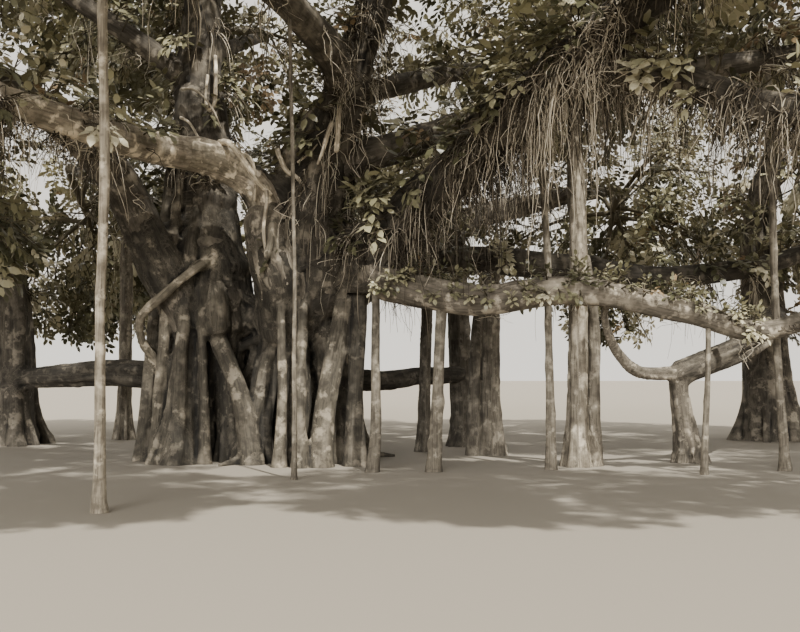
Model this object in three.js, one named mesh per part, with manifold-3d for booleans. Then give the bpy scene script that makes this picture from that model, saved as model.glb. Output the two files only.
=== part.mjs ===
// A banyan tree: a trunk fused from many roots, wide boughs that stand on prop roots,
// curtains of hanging roots, and a broad evergreen crown in twenty masses of foliage.
// Millimetres, +Z up. The origin is the middle of the trunk's flat foot at ground level,
// +Y runs away from the tree's front, and +X is to the right when it is seen from there.

import * as THREE from 'three';
import { mergeVertices } from 'three/addons/utils/BufferGeometryUtils.js';
import Module from 'manifold-3d';

const wasm = await Module();
wasm.setup();

// Driving dimensions
const GAP = 0.3; // clearance between neighbouring solids
const TRIM = 0.05; // corners that matter less than this are dropped after a cut
const BELOW_GROUND = 300; // feet are drawn this far down and then cut flat at the ground
const LIMB_STEPS = 5;
const THICK_LIMB = 400; // limbs over this radius get eight sides, the others six
const PROP_SIDES = 5;
const PROP_STEPS = 3;
const FLARE_HEIGHT = 380; // a foot's flare fades over this height

const CORE_HEIGHT = 3150; // the two fused cores of the trunk end here, where the boughs leave
const COLUMN_RADIUS = 300;
const COLUMN_FLARE = 0.45;
const COLUMN_SIDES = 5;
const SURFACE_ROOT_LENGTH = 950;
const SURFACE_ROOT_RADIUS = 150;
const SURFACE_ROOT_EVERY = 4; // every fourth column has one

const SPRAY_LENGTH = 2700; // one leafy spray, root to tip
const SPRAY_WIDTH = 2000;
const SPRAY_THICKNESS = 340;
const SPRAY_WAIST = 0.4; // the widest place, as a share of the length from the root
const SPRAY_SUNK = 12; // how far past its twig's middle line a spray's root is sunk
const SPRAY_SIZES = [1, 0.86, 0.73, 0.6, 0.5]; // the largest that fits is used
const SPRAY_LEANS = [0.9, 1.25, 1.6, 0.6]; // radians between a spray and its twig, tried in this order
const SPRAY_SHARES = [0.97, 0.8, 0.62, 0.44]; // where sprays leave a twig, as shares of its length
const TWIG_FACES = 3;
const CLEARANCE = 40; // least distance of twigs and sprays from any limb
const SPACE_MARGIN = 15; // half the free layer between two masses of foliage
const SLACK = 4; // a joined mass may lose corners smaller than this
const STEM_TIP_RADIUS = 120;
const STEM_END = 0.3; // how far past the middle a mass's stem runs, as a share of its half-size
const BOUGHLETS = 5;
const BOUGHLET_RADII = [68, 66];
const BOUGHLET_REACHES = [0.76, 0.64, 0.52]; // share of the mass's half-size, the first that fits
const BOUGHLET_ANGLES = [2.1, 0.4]; // radians from the stem's direction, first to last boughlet
const BOUGHLET_ROOTS = [0.5, 0.94]; // where the first and the last leave the stem

const GOLDEN_ANGLE = Math.PI * (3 - Math.sqrt(5));

const BARK = { color: 0x7b7062, roughness: 0.9 };
const ROOT = { color: 0x948775, roughness: 0.92 };
const LEAF = { color: 0x4d5a33, roughness: 0.7 };

// The trunk: two clusters of fused roots round two cores, open in a narrow vee between them
const CLUSTERS = [
  { centre: [-1080, 60], spread: [780, 1080], head: [-960, 40], core: [820, 700], columns: 5, turn: 0.55 },
  { centre: [720, -40], spread: [1000, 1180], head: [720, -220], core: [880, 640], columns: 7, turn: 0.3 },
];

// A single root grafted across the vee, from the left cluster's head to the right one's foot
const GRAFTED_ROOT = {
  radii: [190, 150],
  foot: true,
  sides: 6,
  steps: 3,
  route: [[0, -1180, 0], [-260, -980, 1300], [-900, -620, 2700]],
};

// Limbs in order of growth: each is cut clear of those before it. A limb that starts on another
// names it, with the share of that limb's length where it leaves.
const LIMBS = [
  {
    name: 'left_leader',
    radii: [740, 250],
    route: [[-850, 0, 2200], [-1050, 0, 4200], [-1150, 100, 6200], [-1200, 300, 8700], [-900, 600, 10600]],
  },
  {
    name: 'centre_stem',
    radii: [600, 400],
    route: [[600, -250, 2200], [560, -850, 3200], [370, -1080, 3950], [290, -1150, 4750]],
  },
  {
    name: 'centre_bough',
    radii: [540, 230],
    route: [[850, -350, 2600], [1150, -1000, 4300], [1500, -1400, 5900], [1850, -1500, 7100],
      [2600, -1900, 9200]],
  },
  {
    name: 'right_front_bough',
    radii: [500, 165],
    route: [[950, -500, 3000], [2600, -1700, 4150], [3300, -2200, 4750], [4700, -3900, 5800],
      [5900, -5600, 6500], [7400, -8000, 7300]],
  },
  {
    name: 'left_bough',
    radii: [440, 140],
    route: [[-1150, -400, 2400], [-1900, -900, 4000], [-2400, -1400, 5100], [-3800, -2200, 6400],
      [-6600, -3400, 7400]],
  },
  {
    name: 'left_front_bough',
    radii: [310, 140],
    from: ['centre_stem', 1],
    route: [[-500, -1550, 5300], [-1400, -2300, 5350], [-1950, -4000, 5200], [-2900, -5500, 5300],
      [-4600, -7300, 6000]],
  },
  {
    name: 'right_low_bough',
    radii: [330, 100],
    taper: 1.4,
    route: [[1000, -800, 3150], [1800, -1400, 3450], [2500, -1900, 3100], [3800, -2500, 2800],
      [5500, -2800, 2950], [7200, -2800, 2600], [8600, -2700, 2300], [10500, -2700, 3200],
      [12000, -2900, 4600]],
    steps: 10,
  },
  {
    name: 'right_back_bough',
    radii: [340, 120],
    route: [[900, 300, 3100], [3200, 800, 3900], [6200, 1000, 3750], [8300, 1000, 3600],
      [10600, 1200, 4000], [12800, 1800, 5200]],
    steps: 7,
  },
  {
    name: 'right_bough',
    radii: [300, 130],
    from: ['centre_bough', 0.38],
    route: [[3500, -1200, 5900], [5500, -1800, 6400], [8000, -2000, 6800], [11000, -1500, 7400]],
  },
  {
    name: 'right_front_side_bough',
    radii: [240, 120],
    from: ['right_front_bough', 0.58],
    route: [[6200, -5300, 5500], [7400, -6100, 4850], [8800, -6600, 4700], [10200, -6800, 5200]],
  },
  {
    name: 'front_bough',
    radii: [280, 120],
    from: ['centre_bough', 0.6],
    route: [[900, -3800, 7200], [-600, -6800, 7000], [-1600, -9300, 7200]],
  },
  {
    name: 'back_bough',
    radii: [420, 140],
    route: [[200, 500, 2500], [600, 3200, 5000], [1200, 6000, 6300], [1600, 8000, 7000]],
  },
  {
    name: 'back_left_bough',
    radii: [380, 130],
    route: [[-900, 500, 2600], [-2600, 3000, 5000], [-4600, 5600, 6400], [-6200, 7400, 7200]],
  },
  {
    name: 'back_right_bough',
    radii: [420, 140],
    route: [[900, 500, 2500], [3000, 2800, 4600], [5800, 4800, 5800], [8200, 7200, 6600]],
  },
  {
    name: 'upper_left_bough',
    radii: [230, 110],
    from: ['left_leader', 0.56],
    route: [[-3000, -600, 8300], [-4800, -1200, 9300]],
    steps: 5,
  },
  {
    name: 'upper_back_bough',
    radii: [230, 110],
    from: ['left_leader', 0.64],
    route: [[-900, 2400, 8800], [-700, 3900, 9500]],
    steps: 5,
  },
  {
    name: 'upper_right_bough',
    radii: [240, 120],
    from: ['centre_bough', 0.55],
    route: [[3400, 600, 7500], [5000, 2200, 8300]],
    steps: 5,
  },
  {
    name: 'right_outer_trunk',
    radii: [560, 240],
    foot: true,
    route: [[11900, 5300, 0], [11700, 5200, 3000], [11500, 5000, 5500], [11800, 4900, 7000]],
  },
  {
    name: 'left_outer_trunk',
    radii: [500, 190],
    foot: true,
    route: [[-6450, 3800, 0], [-6300, 3600, 3000], [-6600, 3400, 5200], [-7200, 3100, 6600]],
  },
  {
    name: 'right_curved_bough',
    radii: [300, 170],
    from: ['right_outer_trunk', 0.4],
    route: [[10600, 1800, 2750], [9300, -300, 2300], [8300, -900, 1800], [7600, -1000, 1620]],
  },
  {
    name: 'left_low_bough',
    radii: [280, 180],
    route: [[-900, 700, 1450], [-3200, 1800, 1650], [-5000, 2900, 1600], [-6400, 3700, 1500]],
    steps: 5,
  },
];

// Prop roots stand on the ground and end in the limb that they carry, at a share of its length
const PROP_ROOTS = [
  { name: 'prop_root_front_left', foot: [-780, -7000], under: ['front_bough', 0.715], radii: [62, 46] },
  { name: 'prop_root_front_slim', foot: [1050, -3650], under: ['front_bough', 0.275], radii: [34, 24] },
  { name: 'prop_root_near_trunk', foot: [2230, -2550], under: ['right_low_bough', 0.13], radii: [85, 65] },
  { name: 'prop_root_low_left', foot: [3250, -2500], under: ['right_low_bough', 0.235], radii: [105, 85] },
  { name: 'prop_root_mid_back', foot: [3150, 1700], under: ['right_back_bough', 0.2], radii: [120, 95] },
  { name: 'prop_root_thick_right', foot: [4450, 900], under: ['right_back_bough', 0.3], radii: [230, 180] },
  { name: 'prop_root_thick_back', foot: [4150, 3300], under: ['back_right_bough', 0.46], radii: [270, 190] },
  { name: 'prop_root_leaning', foot: [5170, -2150], under: ['right_bough', 0.395], radii: [72, 50] },
  { name: 'prop_root_bright', foot: [5740, -1550], under: ['right_bough', 0.455], radii: [175, 120] },
  { name: 'prop_root_slim_right', foot: [7480, -2900], under: ['right_low_bough', 0.585], radii: [52, 38] },
  { name: 'prop_root_right_edge', foot: [9000, -2300], under: ['right_bough', 0.785], radii: [70, 48] },
  { name: 'prop_root_back_left', foot: [-4300, 5500], under: ['back_left_bough', 0.66], radii: [170, 110] },
];

// The beam near the ground, and the root under the curved bough's bend with the shoot that rises from it
const LOW_BEAM = {
  name: 'low_beam',
  radii: [210, 170],
  route: [[900, 800, 1600], [2200, 1250, 1480], [3150, 2200, 1600], [4050, 3200, 1620]],
  steps: 5,
};
const BEND_ROOT = {
  name: 'bend_root',
  column: {
    radii: [190, 130],
    foot: true,
    sides: 5,
    steps: 3,
    route: [[7930, -800, 0], [7760, -900, 900], [7640, -980, 1640]],
  },
  shoot: {
    radii: [115, 70],
    sides: 5,
    route: [[7640, -980, 1640], [6850, -1400, 1640], [6400, -1700, 1950], [6050, -2200, 2500],
      [6000, -2780, 2850]],
  },
};

// Curtains of hanging roots: each hangs from a bar under a stretch of its bough
const CURTAINS = [
  { name: 'root_curtain_right', bough: 'right_front_bough',
    stretch: [0.42, 0.68], strands: 10, drop: [1500, 2700] },
  { name: 'root_curtain_centre', bough: 'right_front_bough',
    stretch: [0.16, 0.34], strands: 6, drop: [900, 1900] },
  { name: 'root_curtain_outer', bough: 'right_front_side_bough',
    stretch: [0.24, 0.7], strands: 8, drop: [700, 1500] },
  { name: 'root_curtain_left', bough: 'left_front_bough',
    stretch: [0.5, 0.85], strands: 7, drop: [700, 1500] },
];
const CURTAIN_BAR_RADIUS = 95;
const STRAND_RADIUS = 36;

// Masses of foliage: the bough that each grows on from, its middle and its half-sizes
const MASSES = [
  { name: 'foliage_top', bough: 'left_leader', centre: [-600, 600, 12000], reach: [4100, 3900, 2300] },
  { name: 'foliage_centre', bough: 'centre_bough',
    centre: [4300, -2900, 10400], reach: [4400, 3700, 2400] },
  { name: 'foliage_left_front', bough: 'left_front_bough',
    centre: [-5700, -8700, 6900], reach: [4200, 3800, 2600] },
  { name: 'foliage_left', bough: 'left_bough', centre: [-8700, -4000, 7500], reach: [4000, 4100, 3300] },
  { name: 'foliage_left_outer', bough: 'left_outer_trunk',
    centre: [-9000, 2800, 6600], reach: [3700, 4000, 4000] },
  { name: 'foliage_back_left', bough: 'back_left_bough',
    centre: [-6400, 8900, 6200], reach: [4200, 3900, 4000] },
  { name: 'foliage_back', bough: 'back_bough', centre: [1600, 9800, 7200], reach: [4500, 3900, 3800] },
  { name: 'foliage_back_right', bough: 'back_right_bough',
    centre: [8900, 9200, 6400], reach: [4400, 3900, 4000] },
  { name: 'foliage_right_outer', bough: 'right_outer_trunk',
    centre: [13000, 5000, 7200], reach: [3700, 4300, 3900] },
  { name: 'foliage_right_back', bough: 'right_back_bough',
    centre: [14000, 400, 6600], reach: [3300, 3600, 3900] },
  { name: 'foliage_right', bough: 'right_bough', centre: [10400, -1400, 9300], reach: [4200, 4000, 2800] },
  { name: 'foliage_right_low', bough: 'right_low_bough',
    centre: [13200, -4600, 5600], reach: [3500, 3200, 3100] },
  { name: 'foliage_right_side', bough: 'right_front_side_bough',
    centre: [11100, -8400, 6400], reach: [3700, 3400, 2700] },
  { name: 'foliage_right_front', bough: 'right_front_bough',
    centre: [6800, -9400, 8100], reach: [3900, 3500, 2400] },
  { name: 'foliage_front', bough: 'front_bough', centre: [-300, -10200, 8000], reach: [4200, 3100, 2400] },
  { name: 'foliage_upper_left', bough: 'upper_left_bough',
    centre: [-5700, -1400, 10200], reach: [4200, 4000, 2500] },
  { name: 'foliage_upper_back', bough: 'upper_back_bough',
    centre: [-2700, 5300, 10400], reach: [4400, 3800, 2500] },
  { name: 'foliage_upper_right', bough: 'upper_right_bough',
    centre: [6500, 4200, 9800], reach: [4700, 4100, 2800] },
  { name: 'foliage_upper_front', bough: 'front_bough', at: 0.42,
    centre: [-900, -5700, 9700], reach: [4200, 3500, 2400] },
  { name: 'foliage_left_hanging', bough: 'left_bough', at: 0.62, boughlets: 3,
    centre: [-4600, -3000, 4300], reach: [2000, 2000, 1600] },
];

// The same numbers every time for the same seed
function seededRandom(seed) {
  let state = seed >>> 0;
  return () => {
    state = (state + 0x6d2b79f5) >>> 0;
    let word = Math.imul(state ^ (state >>> 15), state | 1);
    word ^= word + Math.imul(word ^ (word >>> 7), word | 61);
    return ((word ^ (word >>> 14)) >>> 0) / 4294967296;
  };
}

function vector(values) {
  return new THREE.Vector3(...values);
}

// A closed three.js geometry as a solid that can be joined and cut
function solidOf(geometry) {
  geometry.deleteAttribute('normal');
  geometry.deleteAttribute('uv');
  const merged = mergeVertices(geometry, 1e-3);
  return new wasm.Manifold(
    new wasm.Mesh({
      numProp: 3,
      vertProperties: new Float32Array(merged.attributes.position.array),
      triVerts: new Uint32Array(merged.index.array),
    }),
  );
}

function joined(solids) {
  return wasm.Manifold.union(solids);
}

// The largest body of a cut solid, without loose scraps and needless corners
function largest(solid) {
  const body = solid.decompose().reduce((best, piece) => (piece.volume() > best.volume() ? piece : best));
  return body.simplify(TRIM);
}

function cutAtGround(solid) {
  return solid.trimByPlane([0, 0, 1], 0);
}

// A cylinder bent along a curve, with its radius worked out at each ring; grow widens and lengthens it
function bentCylinder(curve, radiusAt, sides, steps, grow) {
  const geometry = new THREE.CylinderGeometry(1, 1, 1, sides, steps);
  const frames = curve.computeFrenetFrames(steps, false);
  const position = geometry.attributes.position;
  for (let i = 0; i < position.count; i += 1) {
    const share = position.getY(i) + 0.5;
    const ring = Math.round(share * steps);
    const centre = curve.getPointAt(share);
    const radius = radiusAt(share, centre.z) + grow;
    const endShift = ring === 0 ? -grow : ring === steps ? grow : 0;
    centre.addScaledVector(frames.tangents[ring], endShift);
    centre.addScaledVector(frames.normals[ring], position.getX(i) * radius);
    centre.addScaledVector(frames.binormals[ring], -position.getZ(i) * radius);
    position.setXYZ(i, centre.x, centre.y, centre.z);
  }
  return solidOf(geometry);
}

function curveOf(spec) {
  const points = spec.route.map(vector);
  if (spec.from) {
    const [parent, share] = spec.from;
    points.unshift(curves.get(parent).getPointAt(share));
  }
  if (spec.foot) {
    const drop = vector([0, 0, -BELOW_GROUND]);
    points.unshift(points[0].clone().add(drop));
  }
  return new THREE.CatmullRomCurve3(points, false, 'centripetal');
}

function limbSolid(spec, curve, grow) {
  const [root, tip] = spec.radii;
  const radiusAt = (share, height) => {
    const flare = spec.foot ? COLUMN_FLARE * Math.exp(-Math.max(height, 0) / FLARE_HEIGHT) : 0;
    return (tip + (root - tip) * (1 - share) ** (spec.taper ?? 1)) * (1 + flare);
  };
  const sides = spec.sides ?? (root > THICK_LIMB ? 8 : 6);
  return bentCylinder(curve, radiusAt, sides, spec.steps ?? LIMB_STEPS, grow);
}

// The trunk's columns stand round their cluster and lean in towards its head
function clusterSpecs(cluster, random) {
  const [cx, cy] = cluster.centre;
  const [hx, hy] = cluster.head;
  const specs = [
    {
      radii: cluster.core,
      foot: true,
      route: [[cx, cy, 0], [(cx + hx) / 2, (cy + hy) / 2, CORE_HEIGHT / 2], [hx, hy, CORE_HEIGHT]],
      steps: 3,
    },
  ];
  for (let i = 0; i < cluster.columns; i += 1) {
    const angle = cluster.turn + (2 * Math.PI * i) / cluster.columns;
    const x = cx + cluster.spread[0] * Math.cos(angle);
    const y = cy + cluster.spread[1] * Math.sin(angle);
    const lean = 0.5 + 0.15 * random();
    const top = [x + (hx - x) * lean, y + (hy - y) * lean, CORE_HEIGHT - 150 - 350 * random()];
    const middle = [x + (hx - x) * lean * 0.4, y + (hy - y) * lean * 0.4, CORE_HEIGHT * 0.45];
    const radius = COLUMN_RADIUS * (0.85 + 0.35 * random());
    specs.push({
      radii: [radius, radius * 0.85],
      foot: true,
      route: [[x, y, 0], middle, top],
      sides: COLUMN_SIDES,
      steps: 3,
    });
    if (i % SURFACE_ROOT_EVERY === 0) {
      specs.push(surfaceRoot(x, y, angle + 0.5 * (random() - 0.5)));
    }
  }
  return specs;
}

// A root that runs out along the ground from the trunk's foot and tapers into it
function surfaceRoot(x, y, angle) {
  const along = (distance, height) => [
    x + distance * Math.cos(angle),
    y + distance * Math.sin(angle),
    height,
  ];
  return {
    radii: [SURFACE_ROOT_RADIUS, 30],
    route: [along(-100, 260), along(SURFACE_ROOT_LENGTH * 0.5, 60), along(SURFACE_ROOT_LENGTH, 10)],
    sides: 5,
    steps: 2,
  };
}

function trunkSolid(grow) {
  const random = seededRandom(7);
  const specs = [...CLUSTERS.flatMap((cluster) => clusterSpecs(cluster, random)), GRAFTED_ROOT];
  return cutAtGround(joined(specs.map((spec) => limbSolid(spec, curveOf(spec), grow))));
}

// A prop root rises almost plumb from its foot into the middle of the limb over it
function propRootSpec(prop, random) {
  const [limb, share] = prop.under;
  const head = curves.get(limb).getPointAt(share);
  const [x, y] = prop.foot;
  const bow = (random() - 0.5) * 0.02 * head.z;
  const middle = [(x + head.x) / 2 + bow, (y + head.y) / 2, head.z / 2];
  return {
    ...prop,
    foot: true,
    route: [[x, y, 0], middle, head.toArray()],
    sides: PROP_SIDES,
    steps: PROP_STEPS,
  };
}

// The turn that stands an upright bar between two points
function barTurn(from, to) {
  const ahead = to.clone().sub(from).normalize();
  return new THREE.Quaternion().setFromUnitVectors(new THREE.Vector3(0, 1, 0), ahead);
}

// A straight three-sided tapered bar between two points
function bar(from, to, rootRadius, tipRadius) {
  const geometry = new THREE.CylinderGeometry(tipRadius, rootRadius, from.distanceTo(to), TWIG_FACES, 1);
  geometry.applyQuaternion(barTurn(from, to));
  const middle = from.clone().add(to).multiplyScalar(0.5);
  geometry.translate(middle.x, middle.y, middle.z);
  return solidOf(geometry);
}

// The direction that a face of such a bar looks in
function barFace(from, to, index) {
  const angle = (2 * Math.PI * (index + 0.5)) / TWIG_FACES;
  return vector([Math.sin(angle), 0, Math.cos(angle)]).applyQuaternion(barTurn(from, to));
}

// A curtain of hanging roots, fused along a bar that lies against the bough's underside
function curtainSolid(curtain, random) {
  const spec = LIMBS.find((limb) => limb.name === curtain.bough);
  const curve = curves.get(curtain.bough);
  const [start, end] = curtain.stretch;
  const under = (share) => {
    const radius = spec.radii[1] + (spec.radii[0] - spec.radii[1]) * (1 - share);
    return curve.getPointAt(share).add(vector([0, 0, -radius - CURTAIN_BAR_RADIUS * 0.35]));
  };
  const stations = [0, 1, 2, 3].map((i) => under(start + ((end - start) * i) / 3));
  const pieces = stations
    .slice(1)
    .map((station, i) => bar(stations[i], station, CURTAIN_BAR_RADIUS, CURTAIN_BAR_RADIUS));
  const [shortest, longest] = curtain.drop;
  for (let i = 0; i < curtain.strands; i += 1) {
    const share = (i + 0.5 + 0.4 * (random() - 0.5)) / curtain.strands;
    const top = under(start + (end - start) * share);
    const middleBias = Math.sin(Math.PI * share);
    const drop = shortest + (longest - shortest) * middleBias * (0.55 + 0.45 * random());
    const drift = vector([(random() - 0.5) * 500, (random() - 0.5) * 500, -drop]);
    pieces.push(bar(top, top.clone().add(drift), STRAND_RADIUS, 0));
  }
  return joined(pieces);
}

// The space of a mass: its ellipsoid, cut flat half-way to each neighbour so that no two overlap
function spaceOf(mass) {
  const centre = vector(mass.centre);
  const reach = vector(mass.reach);
  const walls = MASSES.filter((other) => other !== mass).map((other) => {
    const across = vector(other.centre).sub(centre);
    const distance = across.length();
    const normal = across.normalize();
    const own = vector(mass.reach).multiply(normal).length();
    const theirs = vector(other.reach).multiply(normal).length();
    return { normal, limit: (distance * own) / (own + theirs) - SPACE_MARGIN };
  });
  return (point) => {
    const offset = point.clone().sub(centre);
    const inside = offset.clone().divide(reach).lengthSq() <= 1;
    return inside && walls.every((wall) => offset.dot(wall.normal) < wall.limit);
  };
}

// The stem runs on from its bough, through the mass's middle and towards its far side
function stemCurve(mass) {
  const curve = curves.get(mass.bough);
  const root = curve.getPointAt(mass.at ?? 1);
  const centre = vector(mass.centre);
  const across = centre.clone().sub(root).normalize();
  const ahead = mass.at ? across : curve.getTangentAt(1);
  const start = root.clone().addScaledVector(ahead, mass.at ? 0 : -120);
  const bend = root.clone().addScaledVector(ahead, 0.3 * root.distanceTo(centre));
  const end = centre.clone().add(across.clone().multiply(vector(mass.reach)).multiplyScalar(STEM_END));
  return new THREE.CatmullRomCurve3([start, bend, centre, end], false, 'centripetal');
}

function stemSpec(mass) {
  const tipRadius = LIMBS.find((limb) => limb.name === mass.bough).radii[1];
  return { radii: [tipRadius * 0.86, STEM_TIP_RADIUS], sides: 4, steps: 2 };
}

// One spray of leaves: a flat eight-faced blade, widest near its root, which is sunk in its twig
function spraySolid(root, along, facing, size) {
  const side = new THREE.Vector3().crossVectors(facing, along).normalize();
  const face = new THREE.Vector3().crossVectors(along, side);
  const geometry = new THREE.OctahedronGeometry(1);
  const position = geometry.attributes.position;
  const corners = [];
  for (let i = 0; i < position.count; i += 1) {
    const x = position.getX(i);
    const share = Math.abs(x) > 0.5 ? (x + 1) / 2 : SPRAY_WAIST;
    const corner = root
      .clone()
      .addScaledVector(along, share * SPRAY_LENGTH * size - SPRAY_SUNK)
      .addScaledVector(side, (position.getY(i) * SPRAY_WIDTH * size) / 2)
      .addScaledVector(face, (position.getZ(i) * SPRAY_THICKNESS * size) / 2);
    position.setXYZ(i, corner.x, corner.y, corner.z);
    corners.push(corner);
  }
  return { solid: solidOf(geometry), corners };
}

// The largest spray that fits at a place on a twig; it leaves the middle of one of the twig's faces
function fittedSpray(twig, place, firstFace, facing, fits) {
  const ahead = twig.end.clone().sub(twig.root).normalize();
  for (let i = 0; i < TWIG_FACES; i += 1) {
    for (const size of SPRAY_SIZES) {
      for (const lean of SPRAY_LEANS) {
        const along = barFace(twig.root, twig.end, firstFace + i).multiplyScalar(Math.sin(lean));
        along.addScaledVector(ahead, Math.cos(lean));
        const spray = spraySolid(place, along, facing, size);
        if (fits(spray)) {
          return spray.solid;
        }
      }
    }
  }
  return null;
}

// The directions of a mass's boughlets, in a spiral round its stem
function boughletDirections(axis, count, random) {
  const across = new THREE.Vector3(0.2, 0.9, 0.35).cross(axis).normalize();
  const start = 2 * Math.PI * random();
  const [first, last] = BOUGHLET_ANGLES;
  return Array.from({ length: count }, (_, i) => {
    const angle = first + ((last - first) * i) / (count - 1);
    const sideways = across.clone().applyAxisAngle(axis, start + i * GOLDEN_ANGLE);
    return sideways.multiplyScalar(Math.sin(angle)).addScaledVector(axis, Math.cos(angle));
  });
}

// Twigs that branch by a seeded rule from the stem, with sprays along them, in the mass's own space
function foliageSolid(mass, index, stem, curve, limbs) {
  const random = seededRandom(101 + index);
  const holds = spaceOf(mass);
  const centre = vector(mass.centre);
  const reach = vector(mass.reach);
  const isClear = (solid) => limbs.minGap(solid, CLEARANCE) >= CLEARANCE;
  const pieces = [stem];

  const addSprays = (twig) => {
    const fits = ({ corners, solid }) =>
      corners.every(holds) &&
      pieces.every((piece) => piece === twig.solid || piece.minGap(solid, 1) >= 1) &&
      isClear(solid);
    const firstFace = Math.floor(TWIG_FACES * random());
    SPRAY_SHARES.forEach((share, i) => {
      const place = twig.root.clone().lerp(twig.end, share);
      const sway = vector([random() - 0.5, random() - 0.5, 0.7]);
      const facing = place.clone().sub(centre).normalize().add(sway);
      const spray = fittedSpray(twig, place, firstFace + i, facing, fits);
      if (spray) {
        pieces.push(spray);
      }
    });
  };

  const axis = curve.getPointAt(1).sub(curve.getPointAt(0.6)).normalize();
  const count = mass.boughlets ?? BOUGHLETS;
  const [lowest, highest] = BOUGHLET_ROOTS;
  const boughlets = [];
  boughletDirections(axis, count, random).forEach((direction, i) => {
    const root = curve.getPointAt(lowest + ((highest - lowest) * i) / (count - 1));
    for (const share of BOUGHLET_REACHES) {
      const end = centre.clone().add(direction.clone().multiply(reach).multiplyScalar(share));
      const solid = bar(root, end, ...BOUGHLET_RADII);
      if (holds(end) && isClear(solid)) {
        boughlets.push({ root, end, solid });
        pieces.push(solid);
        break;
      }
    }
  });
  boughlets.forEach(addSprays);
  return largest(joined(pieces).simplify(SLACK).subtract(taken));
}

function meshOf(name, solid, look) {
  const { vertProperties, triVerts } = solid.getMesh();
  const geometry = new THREE.BufferGeometry();
  geometry.setAttribute('position', new THREE.BufferAttribute(new Float32Array(vertProperties), 3));
  geometry.setIndex(new THREE.BufferAttribute(new Uint32Array(triVerts), 1));
  const material = new THREE.MeshStandardMaterial({ ...look, metalness: 0, flatShading: true });
  const mesh = new THREE.Mesh(geometry, material);
  mesh.name = name;
  return mesh;
}

const curves = new Map();
const tree = new THREE.Group();
let taken = trunkSolid(GAP); // every limb so far, each wider by the gap
tree.add(meshOf('trunk', largest(trunkSolid(0)), BARK));

// Adds a node cut clear of all that is there, and claims its own place
function addLimb(name, solid, grown, look) {
  tree.add(meshOf(name, largest(cutAtGround(solid.subtract(taken))), look));
  taken = taken.add(grown);
}

for (const spec of LIMBS) {
  const curve = curveOf(spec);
  curves.set(spec.name, curve);
  addLimb(spec.name, limbSolid(spec, curve, 0), limbSolid(spec, curve, GAP), BARK);
}

const bendParts = [BEND_ROOT.column, BEND_ROOT.shoot];
const bendSolid = (grow) => joined(bendParts.map((spec) => limbSolid(spec, curveOf(spec), grow)));
addLimb(BEND_ROOT.name, bendSolid(0), bendSolid(GAP), ROOT);

const propRandom = seededRandom(31);
for (const prop of PROP_ROOTS) {
  const spec = propRootSpec(prop, propRandom);
  const curve = curveOf(spec);
  addLimb(prop.name, limbSolid(spec, curve, 0), limbSolid(spec, curve, GAP), ROOT);
}

const beamCurve = curveOf(LOW_BEAM);
addLimb(LOW_BEAM.name, limbSolid(LOW_BEAM, beamCurve, 0), limbSolid(LOW_BEAM, beamCurve, GAP), BARK);

const curtainRandom = seededRandom(53);
for (const curtain of CURTAINS) {
  const solid = curtainSolid(curtain, curtainRandom);
  addLimb(curtain.name, solid, solid, ROOT);
}

const stems = MASSES.map((mass) => {
  const curve = stemCurve(mass);
  return { curve, solid: limbSolid(stemSpec(mass), curve, 0) };
});

MASSES.forEach((mass, index) => {
  const { curve, solid } = stems[index];
  const others = joined([taken, ...stems.filter((stem) => stem.solid !== solid).map((stem) => stem.solid)]);
  tree.add(meshOf(mass.name, foliageSolid(mass, index, solid, curve, others), LEAF));
});

export default tree;
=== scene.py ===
"""Looks of a banyan tree in leaf, built round its solids in metres.

The trunk is fused from many roots, the boughs carry ropes of root bark, hundreds of fine roots
hang from them, and twenty masses of foliage grow on from the boughs' tips by the same seeded
rule as the solids, carried on to finer twigs and single leaves.
"""

import logging
import math
from collections.abc import Iterable, Sequence
from dataclasses import dataclass
from enum import Enum
from functools import cached_property

import bpy
import numpy as np
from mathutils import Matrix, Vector, noise
from mathutils.kdtree import KDTree


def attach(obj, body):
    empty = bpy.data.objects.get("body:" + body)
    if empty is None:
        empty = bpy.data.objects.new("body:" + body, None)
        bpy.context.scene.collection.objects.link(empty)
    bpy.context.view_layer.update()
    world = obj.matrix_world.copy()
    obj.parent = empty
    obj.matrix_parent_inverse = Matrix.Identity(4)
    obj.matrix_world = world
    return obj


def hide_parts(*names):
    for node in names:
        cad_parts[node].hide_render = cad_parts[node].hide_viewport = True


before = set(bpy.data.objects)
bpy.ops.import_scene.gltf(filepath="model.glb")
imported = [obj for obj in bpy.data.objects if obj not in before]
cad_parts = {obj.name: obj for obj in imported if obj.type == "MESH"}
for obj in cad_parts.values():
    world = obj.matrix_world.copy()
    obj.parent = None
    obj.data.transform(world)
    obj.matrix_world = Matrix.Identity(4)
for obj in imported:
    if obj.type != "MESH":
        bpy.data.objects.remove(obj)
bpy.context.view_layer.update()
log = logging.getLogger("banyan")

Array = np.ndarray
Arrays = tuple[np.ndarray, ...]
Pair = tuple[float, float]
Point = tuple[float, float, float]
Piece = bpy.types.Object
Random = np.random.Generator
UP = np.array([0.0, 0.0, 1.0])
FULL_TURN = 2 * math.pi
GOLDEN_ANGLE = math.pi * (3 - math.sqrt(5))

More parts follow.
